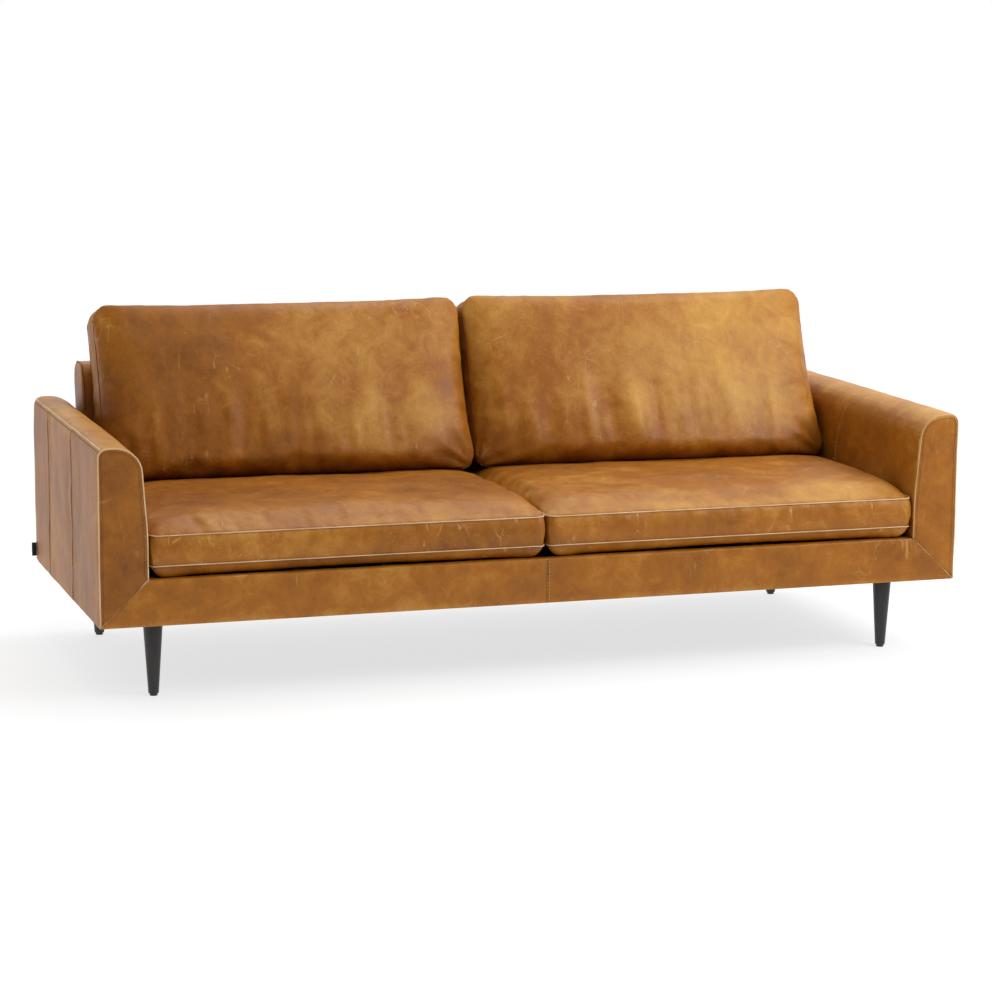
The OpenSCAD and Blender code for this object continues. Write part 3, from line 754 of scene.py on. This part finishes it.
def back_cover():
    outline = [(-SIDE_X, UNDER_Z), (SIDE_X, UNDER_Z), (INNER_X, DECK_Z), (INNER_X - 0.001, BACK_TOP),
               (-INNER_X + 0.001, BACK_TOP), (-INNER_X, DECK_Z)]
    bm = prism(outline, BACK_TOP_FRONT, REAR_Y, 1)
    run = along(0)
    round_edges(bm, lambda e: run(e) and abs(e.verts[0].co.z - BACK_TOP) < 1e-4, BACK_ROUND, 6)

    def end_corner(e):
        sharp = e.is_manifold and e.calc_face_angle(0) > 1.2
        above = all(v.co.z > DECK_Z - 0.001 for v in e.verts)
        return sharp and above and abs(e.verts[0].co.x) > INNER_X - 0.01
    round_edges(bm, end_corner, 0.007, 3)
    xs = [x for x in evenly(-SIDE_X, SIDE_X, BACK_GRID) if abs(x) > 0.016]
    slices(bm, 0, xs + [-0.012, -0.005, 0, 0.005, 0.012])
    foot = [DECK_Z - 0.007, DECK_Z - 0.0005, DECK_Z + 0.003]
    slices(bm, 2, foot + evenly(UNDER_Z, BACK_TOP - BACK_ROUND, BACK_GRID))
    slices(bm, 1, [BACK_TOP_FRONT + 0.0015] + evenly(BACK_TOP_FRONT + BACK_ROUND, REAR_Y - 0.02, BACK_GRID))
    few_sided(bm)
    cover = make("back_cover", bm, [LEATHER["back"], LEATHER["front"]], "frame",
                 ["back_cover_inside", "back_cover_outside"])

    def lean(co, n):
        thick = REAR_Y - BACK_TOP_FRONT
        wanted = thick + (BACK_TOP - co.z) * LEAN if co.z > DECK_Z - 0.001 else 0.022
        share = (REAR_Y - co.y) / thick
        co = co.copy()
        co.y = REAR_Y - share * wanted
        if abs(co.x) > INNER_X - 0.012 and co.z > DECK_Z:
            co.x += side_of(co.x) * 0.0105 * max(0.0, min(1.0, (co.z - 0.40) / 0.19))
        return co
    reshape(cover, lean)

    def dress(co, n):
        out = 0.0014 * drift(31, co, 6) + 0.0005 * drift(32, co, 28, 2)
        if n.y > 0.6:
            across = 1 - (co.x / SIDE_X) ** 2
            out += 0.003 * hump((co.z - UNDER_Z) / (BACK_TOP - UNDER_Z)) * across
            out += 0.0020 * drift(33, (co.x * 0.8, 0, co.z * 1.3), 4.5)
            out += 0.0014 * near(abs(co.x) - 0.013, 0.010)
            out = max(out, 0.0) * ease((SIDE_X - abs(co.x)) / 0.02) * (1 - 0.9 * near(co.x, 0.005))
            out -= 0.001 * near(co.x, 0.004)
        else:
            out = max(out, 0.0008)
        if abs(n.x) > 0.6 and co.z > ARM_Z - 0.01:
            out += 0.002 * hump((co.z - ARM_Z) / (BACK_TOP - ARM_Z))
        return co + n * out
    reshape(cover, dress)
    finer(cover)
    mark(cover, "wear_and_painted_light", lambda co, n: 0.5 * near(co.z - BACK_TOP, 0.02))
    skin = surface_of(cover)
    # Piping round the end gussets and along the top rear edge
    for sign, side in ((-1, "left"), (1, "right")):
        x = sign * (INNER_X + 0.006)
        top_z = BACK_TOP - BACK_ROUND
        loop = [(BACK_TOP_FRONT - (BACK_TOP - z) * LEAN, z) for z in (0.60, 0.64, 0.66, 0.676)]
        loop += arc((BACK_TOP_FRONT + BACK_ROUND, top_z), BACK_ROUND, pi, pi / 2, 6)[1:6]
        loop += arc((REAR_Y - BACK_ROUND, top_z), BACK_ROUND, pi / 2, 0, 6)
        loop += [(REAR_Y, 0.66), (REAR_Y, 0.62)]
        path = laid(walk([(x, y, z) for y, z in loop], 0.008), skin, 0.0004)
        tube(f"back_end_welt_{side}", path, 0.0021, DARK_PIPING, "frame")
    behind = REAR_Y + 0.01
    xs = evenly(-INNER_X - 0.004, INNER_X + 0.004, 0.009)
    rear = laid([(x, behind, BACK_TOP - 0.034) for x in xs], skin, 0.0004)
    tube("back_rear_welt", rear, 0.0021, PIPING, "frame")
    under = laid([(x, behind, BACK_TOP - 0.0415) for x in evenly(-INNER_X, INNER_X, 0.0088)], skin, 0.0004)
    heights = evenly(UNDER_Z + 0.006, BACK_TOP - 0.045, 0.0085)
    middle = laid([(0.0068, behind, z) for z in heights], skin, 0.0003)
    stitch_row("back_rear_stitches", [under, middle], "frame", material=DARK_PIPING)


back_cover()


# ---------- cushions ----------

def pillow_edge(distance, reach, power=0.55):
    """How far a stuffed panel has risen at a distance in from its seam, from 0 to 1."""
    t = max(0.0, min(1.0, distance / reach))
    return (1 - (1 - t) ** 2) ** power


def seam_ring(bm, level):
    """The vertices along one seam of a cushion, in order round it."""
    bm.verts.index_update()
    bm.verts.ensure_lookup_table()
    following = {}
    for e in bm.edges:
        at_level = all(abs(v.co.z - level) < 1e-5 for v in e.verts)
        if at_level and len({round(f.normal.z) for f in e.link_faces}) == 2:
            for a, b in (tuple(e.verts), tuple(e.verts)[::-1]):
                following.setdefault(a.index, []).append(b.index)
    order, last = [min(following)], None
    while True:
        ahead = [i for i in following[order[-1]] if i != last]
        if not ahead or ahead[0] == order[0]:
            return order
        last = order[-1]
        order.append(ahead[0])


def cushion_core(name, size, corner, edge, edge_steps, turn, body, slot, node):
    """The block of foam or fibre in a cushion, rounded so that it stays inside the cover."""
    bm = bmesh.new()
    bmesh.ops.create_cube(bm, size=1)
    bmesh.ops.scale(bm, vec=size, verts=bm.verts[:])
    round_edges(bm, along(2), corner, 5)
    round_edges(bm, level_run, edge, edge_steps)
    bmesh.ops.transform(bm, matrix=turn, verts=bm.verts[:])
    bmesh.ops.recalc_face_normals(bm, faces=bm.faces[:])
    return make(name, bm, [FINISHES[slot]], body, [node])


class Cushion:
    """A boxed cushion: width along u, length along v, and its seams at the two ends of t."""

    def __init__(self, name, body, span_u, span_v, boxing, corner, step, to_world):
        self.name, self.body = name, body
        self.u0, self.u1 = span_u
        self.v0, self.v1 = span_v
        self.boxing, self.corner, self.step, self.to_world = boxing, corner, step, to_world

    def build(self, materials, stands_for):
        bm = bmesh.new()
        bmesh.ops.create_cube(bm, size=1)
        size = Vector((self.u1 - self.u0, self.v1 - self.v0, self.boxing))
        bmesh.ops.scale(bm, vec=size, verts=bm.verts[:])
        middle = Vector(((self.u0 + self.u1) / 2, (self.v0 + self.v1) / 2, self.boxing / 2))
        bmesh.ops.translate(bm, vec=middle, verts=bm.verts[:])
        round_edges(bm, along(2), self.corner, 6)
        close = 0.005
        slices(bm, 0, evenly(self.u0, self.u1, self.step) + [self.u0 + close, self.u1 - close])
        slices(bm, 1, evenly(self.v0, self.v1, self.step) + [self.v0 + close, self.v1 - close])
        slices(bm, 2, evenly(0, self.boxing, self.step * 0.9))
        few_sided(bm)
        self.rest = [v.co.copy() for v in bm.verts]
        top = [f for f in bm.faces if f.normal.z > 0.9]
        under = [f for f in bm.faces if f.normal.z < -0.9]
        for f in bm.faces:
            f.material_index = 1
        for f in top + under:
            f.material_index = 0
        self.rims = [seam_ring(bm, 0.0), seam_ring(bm, self.boxing)]
        self.piece = make(self.name, bm, materials, self.body, stands_for)
        return self.piece

    def inside(self, u, v):
        """How far in from the seam a place is: across and along."""
        du, dv = min(u - self.u0, self.u1 - u), min(v - self.v0, self.v1 - v)
        return max(0.0, du - self.rounding(dv)), max(0.0, dv - self.rounding(du))

    def rounding(self, distance):
        """How far the rounded corner draws the seam in at this distance from the other side."""
        left = max(0.0, self.corner - max(0.0, distance))
        return self.corner - sqrt(self.corner ** 2 - left ** 2)

    def shape(self, form):
        for v, rest in zip(self.piece.data.vertices, self.rest):
            v.co = self.to_world(Vector(form(rest)))
        self.piece.data.update()

    def hold_seams(self, strong=0.8):
        holds = [0.0] * len(self.rest)
        for rim in self.rims:
            for i in rim:
                holds[i] = strong
        return holds

    def seam(self, which, lift=0.0006):
        mesh = self.piece.data
        return [(mesh.vertices[i].co + mesh.vertices[i].normal * lift, mesh.vertices[i].normal.copy())
                for i in self.rims[which]]


def seat_cushion(side):
    sign = -1 if side == "left" else 1
    lo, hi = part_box(f"seat_cover_{side}")
    lower, upper = 0.333, 0.404  # the heights of the two seams
    body = f"seat_cushion_{side}"
    seed = 41 if sign < 0 else 47
    boxing = upper - lower
    form = Cushion(f"seat_cover_leather_{side}", body, (lo.x + 0.002, hi.x - 0.002), (lo.y + 0.002, hi.y),
                   boxing, 0.022, GRID, lambda p: p)
    skins = [LEATHER["seat_b" if sign < 0 else "seat"], LEATHER["boxing"]]
    piece = form.build(skins, [f"seat_cover_{side}"])
    centre_u, centre_v = (form.u0 + form.u1) / 2, (form.v0 + form.v1) / 2
    length = form.v1 - form.v0

    def shaped(r):
        u, v, t = r
        du, dv = form.inside(u, v)
        level = t / boxing
        from_front = v - form.v0
        z = lower + t
        # The side seams rise behind the front corners and settle towards the back
        rise = 0.007 * ease(from_front / 0.16) * (1 - 0.45 * ease((from_front - 0.2) / 0.35))
        edge_u = 1 - ease(du / 0.12)
        z += rise * (0.35 + 0.65 * level) * edge_u * ease(from_front / 0.05)
        if level > 0.999:
            rounded = pillow_edge(du, 0.15, 0.5) * (
                0.35 * pillow_edge(dv, 0.05, 0.6) + 0.65 * pillow_edge(dv, 0.30, 0.75))
            z += 0.036 * rounded - 0.010 * ease((from_front - 0.42) / 0.28)
            z += 0.0030 * drift(seed, (u, v, 0), 4.5) * ease(min(du, dv) / 0.05)
            z += 0.0032 * drift(seed + 7, (u * 0.22, v, 0), 8.5, 2) * ease(min(du, dv) / 0.05)
            # The stuffing pushes the panel out over its own side seams
            u += side_of(u - centre_u) * 0.010 * near(du - 0.010, 0.011) * (du > 0) * ease(dv / 0.08)
        elif level < 0.001:
            z -= (lower - DECK_Z - 0.0005) * pillow_edge(du, 0.030, 0.5) * pillow_edge(dv, 0.018, 0.42)
            v += side_of(v - centre_v) * 0.004 * near(dv - 0.006, 0.007) * (dv > 0)
        # Boxing swells, and the sides draw in a little between the corners
        swell_out = 0.0065 * (1 - (2 * level - 1) ** 2) * (0 < level < 1)
        across = (u - centre_u) / ((form.u1 - form.u0) / 2)
        lengthways = (v - centre_v) / (length / 2)
        draw = 0.0035
        if du < 0.03:
            u -= side_of(across) * draw * (1 - lengthways ** 2) * (1 - du / 0.03)
        if dv < 0.03:
            v -= side_of(lengthways) * draw * 0.6 * (1 - across ** 2) * (1 - dv / 0.03)
        if du < 0.004 and 0 < level < 1:
            u += side_of(across) * swell_out * 0.25
        if dv < 0.004 and 0 < level < 1:
            v += side_of(lengthways) * swell_out
        return u, v, z
    form.shape(shaped)
    swell(piece, form.hold_seams(), 3.0, 0.010, 0.012)
    # Kept to its own half of the sofa, and on the deck
    reshape(piece, lambda co, n: Vector((max(lo.x, min(hi.x, co.x)), co.y, max(DECK_Z + 0.0005, co.z))))
    seams = [form.seam(0), form.seam(1)]
    finer(piece)

    def pucker(co, n):
        out = 0.0
        ahead = co.y - form.v0
        d_side = min(co.x - form.u0, form.u1 - co.x)
        rim = min(ahead, d_side)
        if n.z > 0.6:
            run = co.x if ahead < d_side else co.y
            out += 0.0013 * near(rim - 0.012, 0.018) * drift(seed + 1, (run * 1.0, rim * 0.12, 0), 62, 1)
            out += 0.0012 * drift(seed + 2, co, 13) * ease(rim / 0.05)
            out += 0.0016 * near(rim, 0.13) * drift(seed + 3, (co.x * 2.1, co.y * 0.5, 0), 14, 2)
        elif abs(n.z) < 0.6 and lower < co.z < upper + 0.01:
            run = co.x if abs(n.y) > 0.6 else co.y
            d_seam = min(abs(co.z - lower), abs(co.z - upper))
            out += 0.0010 * near(d_seam, 0.02) * drift(seed + 4, (run, co.z * 0.14, 0), 66, 1)
            out += 0.0016 * drift(seed + 5, (run, co.z * 0.5, 0), 11)
        return co + n * out
    reshape(piece, pucker)
    # Paler on the top near the front: wear where one sits, and a painted highlight of the light on that edge.
    # Also paler along the upper seam, from wear.
    mark(piece, "wear_and_painted_light", lambda co, n: 0.55 * max(0, n.z) * near(co.y - form.v0 - 0.03, 0.10) + (
        0.25 * near(co.z - upper, 0.012)))
    # Painted shade: darker along both seams, for the shadow beside the piping.
    mark(piece, "painted_shade", lambda co, n: 0.55 * near(co.z - upper, 0.004) + 0.5 * near(co.z - lower, 0.005))
    for path, label in ((seams[1], "upper"), (seams[0], "lower")):
        tube(f"seat_{label}_welt_{side}", path, 0.0014, PIPING, body, closed=True)
    skin = surface_of(piece)
    rows = []
    for path in seams:
        ring = walk([p for p, _ in path], 0.0078, True)
        rows.append(laid(ring + ring[:1], skin, 0.0016))
    stitch_row(f"seat_stitches_{side}", rows, body, width=0.0010)
    middle = Matrix.Translation(((lo.x + hi.x) / 2, (lo.y + hi.y) / 2, lo.z + 0.064))
    core = cushion_core(f"seat_foam_core_{side}", (hi.x - lo.x - 0.06, hi.y - lo.y - 0.06, 0.076),
                        0.04, 0.018, 3, middle, body, "foam", f"seat_foam_{side}")


def back_cushion(side):
    sign = -1 if side == "left" else 1
    lo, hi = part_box(f"back_cushion_cover_{side}")
    body = f"back_cushion_{side}"
    seed = 61 if sign < 0 else 67
    flare = (0.045, 0.070) if sign < 0 else (0.055, 0.108)
    boxing = 0.082
    foot_y = 0.2868
    up = Vector((0, sin(LEAN_ANGLE), cos(LEAN_ANGLE)))
    out = Vector((0, -cos(LEAN_ANGLE), sin(LEAN_ANGLE)))
    ahead = Vector((0, -1, 0))
    height = (hi.z - lo.z) / cos(LEAN_ANGLE) - 0.020
    origin = Vector((0, foot_y, lo.z + 0.001))
    shift = 0.004
    form = Cushion(f"back_cushion_leather_{side}", body, (lo.x + 0.004 + shift, hi.x - 0.004 + shift),
                   (0.0, height), boxing, 0.034, 0.0135,
                   lambda p: origin + Vector((p.x, 0, 0)) + up * p.y + ahead * p.z)
    piece = form.build([LEATHER["pillow" if sign < 0 else "pillow_b"], LEATHER["wrap"]],
                       [f"back_cushion_cover_{side}"])
    width = form.u1 - form.u0

    def shaped(r):
        u, v, t = r
        du, dv = form.inside(u, v)
        level = t / boxing
        high = v / height
        across = (u - (form.u0 + form.u1) / 2) / (width / 2)
        # The stuffing settles: the foot is thicker than the top, most at the outer right end
        low = 1 - high
        t += level * low ** 1.25 * (flare[0] + (flare[1] - flare[0]) * ease((across + 1) / 2))
        if level > 0.999:
            from_top, from_foot = (dv, v) if high > 0.5 else (height - v, dv)
            bulk = 0.062 + 0.012 * near(high - 0.35, 0.35)
            lift = bulk * (0.5 * pillow_edge(du, 0.10, 0.55) + 0.5 * pillow_edge(du, 0.47, 0.8))
            lift *= 0.6 * pillow_edge(from_top, 0.10, 0.55) + 0.4 * pillow_edge(from_top, 0.26, 0.7)
            t += lift * pillow_edge(from_foot, 0.045, 0.5)
            t += 0.005 * drift(seed, (u, v * 0.8, 0), 3.6) * ease(min(du, dv) / 0.08)
            # The front panel rolls out over its seam, most along the top
            v += 0.031 * near(from_top, 0.045) * pillow_edge(from_top, 0.016) * ease((du + 0.022) / 0.045)
            rolled = near(du, 0.030) * pillow_edge(du, 0.014) * ease((dv + 0.015) / 0.04)
            u += side_of(across) * 0.014 * rolled
        t -= 0.006 * near(high - 1, 0.12) * level
        v += 0.008 * level * high ** 2 - 0.014 * (1 - level) * high ** 4
        v += 0.005 * level * high ** 4 * (1 - across ** 2)
        draw_u, draw_v = 0.006, -0.001
        if du < 0.04:
            u -= side_of(across) * draw_u * sin(pi * high) * (1 - du / 0.04)
        if dv < 0.04:
            v -= draw_v * (1 - across ** 2) * (1 - dv / 0.04) * (high > 0.5)
        swell_out = 0.007 * (1 - (2 * level - 1) ** 2) * (0 < level < 1)
        if du < 0.004:
            u += side_of(across) * swell_out * 0.4
        if dv < 0.004:
            v += (high > 0.5) * swell_out
        return u, v, t
    form.shape(shaped)
    swell(piece, form.hold_seams(), 3.0, 0.012, 0.012)

    def seated(co, n):
        """Keeps the cushion off the back frame and on the seat."""
        behind = (co - origin).dot(out)
        if behind < 0:
            co = co - out * behind
        return Vector((max(lo.x - 0.001, min(hi.x + 0.004, co.x)), co.y, max(lo.z - 0.004, co.z)))
    reshape(piece, seated)
    seams = [form.seam(0), form.seam(1)]
    finer(piece)

    def creased(co, n):
        v = (co.z - origin.z) / up.z
        du, dv = form.inside(co.x, v)
        high = v / height
        push = 0.0
        if n.dot(out) > 0.25:
            face_in = ease(min(du, dv) / 0.05)
            pull = near(high - 0.30, 0.24) * ease(high / 0.08)
            pull *= 1.45 - 0.8 * ease((co.x - form.u0) / width)
            push += 0.0060 * pull * drift(seed + 1, (co.x * 1.5, v * 0.30, 0), 9.5, 2) * face_in
            push += 0.0018 * pull * drift(seed + 2, (co.x * 1.3, v * 0.28, 0), 25, 2) * face_in
            push += 0.0018 * drift(seed + 3, co, 8) * face_in
            for corner_u in (form.u0, form.u1):
                dx, dz = abs(co.x - corner_u), v
                reach = hypot(dx, dz)
                angle = atan2(dz, dx)
                push += 0.0038 * near(reach - 0.07, 0.07) * sin(angle * 13 + 0.6 + seed) * ease(reach / 0.05)
            rim = min(du, dv)
            run = co.x if dv < du else v
            push += 0.0010 * near(rim - 0.010, 0.016) * drift(seed + 4, (run, rim * 0.1, 0), 55, 1)
        else:
            push += 0.0010 * drift(seed + 5, co, 16)
        return co + n * push
    reshape(piece, creased)

    # Painted light on the cushion's front: paler towards the right end and up from the foot, where the key
    # lamp on the right falls, with painted highlights along the fold ridges.
    def painted_light(co, n):
        v = (co.z - origin.z) / up.z
        high, to_right = v / height, (co.x - form.u0) / width
        ridge = max(0.0, drift(seed + 1, (co.x * 1.5, v * 0.30, 0), 9.5, 2)) * near(high - 0.38, 0.24)
        return max(0, n.dot(out)) * (
            0.75 * ease((to_right - 0.15) / 0.6) * ease(high / 0.4) - 0.10 + 1.1 * ridge)
    mark(piece, "wear_and_painted_light", painted_light)
    # Painted shade: darker towards the foot, where the cushion curves under onto the seat.
    mark(piece, "painted_shade", lambda co, n: 0.45 * near(co.z - origin.z, 0.07))
    tube(f"back_cushion_front_welt_{side}", seams[1], 0.0013, DARK_PIPING, body, closed=True)
    tube(f"back_cushion_rear_welt_{side}", seams[0], 0.0016, DARK_PIPING, body, closed=True)
    turn = Matrix((Vector((1, 0, 0)), up, out)).transposed().to_4x4()
    turn.translation = origin + Vector(((form.u0 + form.u1) / 2, 0, 0)) + up * height / 2 + out * 0.042
    core = cushion_core(f"fibre_core_{side}", (width - 0.08, height - 0.10, 0.056), 0.05, 0.022, 4, turn,
                        body, "fibre_fill", f"back_cushion_fill_{side}")


for side in ("left", "right"):
    seat_cushion(side)
for side in ("left", "right"):
    back_cushion(side)


# ---------- legs and label ----------

def leg(node):
    lo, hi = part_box(node)
    top_r, foot_r = (hi.x - lo.x) / 2, 0.0125
    bm = bmesh.new()
    middle = Vector(((lo.x + hi.x) / 2, (lo.y + hi.y) / 2, (lo.z + hi.z) / 2))
    bmesh.ops.create_cone(bm, cap_ends=True, segments=56, radius1=foot_r, radius2=top_r, depth=hi.z - lo.z,
                          matrix=Matrix.Translation(middle))
    round_edges(bm, lambda e: level_run(e) and e.verts[0].co.z < middle.z, 0.0022, 3)
    round_edges(bm, lambda e: level_run(e) and e.verts[0].co.z > hi.z - 1e-4, 0.0012, 2)
    bmesh.ops.recalc_face_normals(bm, faces=bm.faces[:])
    return make(f"turned_{node}", bm, [FINISHES["black_stained_wood"]], "frame", [node])


for node in ("leg_front_left", "leg_front_right", "leg_rear_left", "leg_rear_right"):
    leg(node)


def label():
    lo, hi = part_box("label_tab")
    bm = bmesh.new()
    bmesh.ops.create_cube(bm, size=1)
    bmesh.ops.scale(bm, vec=(hi.x - lo.x, 0.0022, hi.z - lo.z), verts=bm.verts[:])
    bmesh.ops.translate(bm, vec=(lo + hi) / 2, verts=bm.verts[:])
    round_edges(bm, lambda e: along(2)(e) and e.verts[0].co.x < lo.x + 0.001, 0.0009, 3)
    slices(bm, 2, evenly(lo.z, hi.z, 0.004))
    slices(bm, 0, evenly(lo.x, hi.x, 0.003))
    tab = make("label_fabric_tab", bm, [FINISHES["label_fabric"]], "frame", ["label_tab"])

    def curled(co, n):
        loose = (hi.x - co.x) / 0.012
        return co + Vector((0, 0.0016 * loose ** 2 * sin(co.z * 90), 0))
    reshape(tab, curled)


label()


# ---------- finishes on the pieces carried over ----------

slots = {part["node"]: part["material_slot"] for part in frame["record"]["subparts"]}
for node, piece in frame["nodes"].items():
    piece.data.materials.clear()
    piece.data.materials.append(FINISHES[slots[node]])


# ---------- floor, lights and camera ----------

def floor():
    bm = bmesh.new()
    bmesh.ops.create_grid(bm, x_segments=1, y_segments=1, size=30)
    mesh = bpy.data.meshes.new("floor")
    bm.to_mesh(mesh)
    bm.free()
    made, tree, skin = new_material("pale_floor")
    cloud = noise_on(tree, mapped(tree), 0.6, 3, 0.5)
    painted(tree, skin, cloud, 0.3, (0.34, 0.34, 0.34), 0.7, (0.36, 0.36, 0.36))
    skin.inputs["Roughness"].default_value = 0.9
    skin.inputs["Specular IOR Level"].default_value = 0.1
    skin.inputs["Emission Color"].default_value = (1, 1, 1, 1)
    skin.inputs["Emission Strength"].default_value = 0.70
    mesh.materials.append(made)
    plane = bpy.data.objects.new("floor", mesh)
    scene.collection.objects.link(plane)


floor()

world = bpy.data.worlds.new("studio")
world.use_nodes = True
backdrop = world.node_tree
backdrop.nodes["Background"].inputs["Color"].default_value = (1, 1, 1, 1)
way = backdrop.nodes.new("ShaderNodeTexCoord")
parts = backdrop.nodes.new("ShaderNodeSeparateXYZ")
backdrop.links.new(way.outputs["Generated"], parts.inputs["Vector"])
# The light from behind the sofa is full, and the light from the front is low
spread = {"From Min": -0.35, "From Max": 0.55, "To Min": 0.24, "To Max": 1.0}
behind = add(backdrop, "ShaderNodeMapRange", **spread)
backdrop.links.new(parts.outputs["Y"], behind.inputs["Value"])
seen = backdrop.nodes.new("ShaderNodeLightPath")
level = maths(backdrop, "MAXIMUM", behind.outputs["Result"], seen.outputs["Is Camera Ray"])
backdrop.links.new(level, backdrop.nodes["Background"].inputs["Strength"])
scene.world = world


def lamp(name, place, aim, size, power, colour=(1, 1, 1)):
    data = bpy.data.lights.new(name, "AREA")
    data.shape = "RECTANGLE"
    data.size, data.size_y = size
    data.energy = power
    data.color = colour
    made = bpy.data.objects.new(name, data)
    scene.collection.objects.link(made)
    way = Vector(aim) - Vector(place)
    made.location = place
    made.rotation_euler = way.to_track_quat("-Z", "Y").to_euler()
    return made


lamp("key_softbox", (2.5, -2.1, 2.3), (0.6, 0.1, 0.6), (1.4, 1.1), 50)
lamp("top_softbox", (0.9, 0.9, 3.2), (0.3, 0.1, 0.5), (2.6, 1.2), 25)
overhead = bpy.data.lights.new("ceiling_light", "SUN")
overhead.energy = 1.1
overhead.angle = radians(75)
ceiling = bpy.data.objects.new("ceiling_light", overhead)
scene.collection.objects.link(ceiling)
ceiling.rotation_euler = Vector((-0.5, 0.35, -1)).to_track_quat("-Z", "Y").to_euler()

AZIMUTH, ELEVATION, ROLL = radians(-18.3038), radians(9.6379), radians(0.4459)
EYE, FOCAL_LENGTH = (-2.27906, -6.93554, 1.62209), 104.34
back = Vector((sin(AZIMUTH) * cos(ELEVATION), -cos(AZIMUTH) * cos(ELEVATION), sin(ELEVATION)))
right = (-back).cross(Vector((0, 0, 1))).normalized()
up = right.cross(-back)
side_axis = right * cos(ROLL) + up * sin(ROLL)
up_axis = up * cos(ROLL) - right * sin(ROLL)
lens = bpy.data.cameras.new("studio_camera")
lens.lens = FOCAL_LENGTH
lens.sensor_width = 36
lens.clip_end = 100
eye = bpy.data.objects.new("studio_camera", lens)
scene.collection.objects.link(eye)
placed = Matrix((side_axis, up_axis, back)).transposed().to_4x4()
placed.translation = EYE
eye.matrix_world = placed
scene.camera = eye
scene.view_settings.view_transform = "Standard"
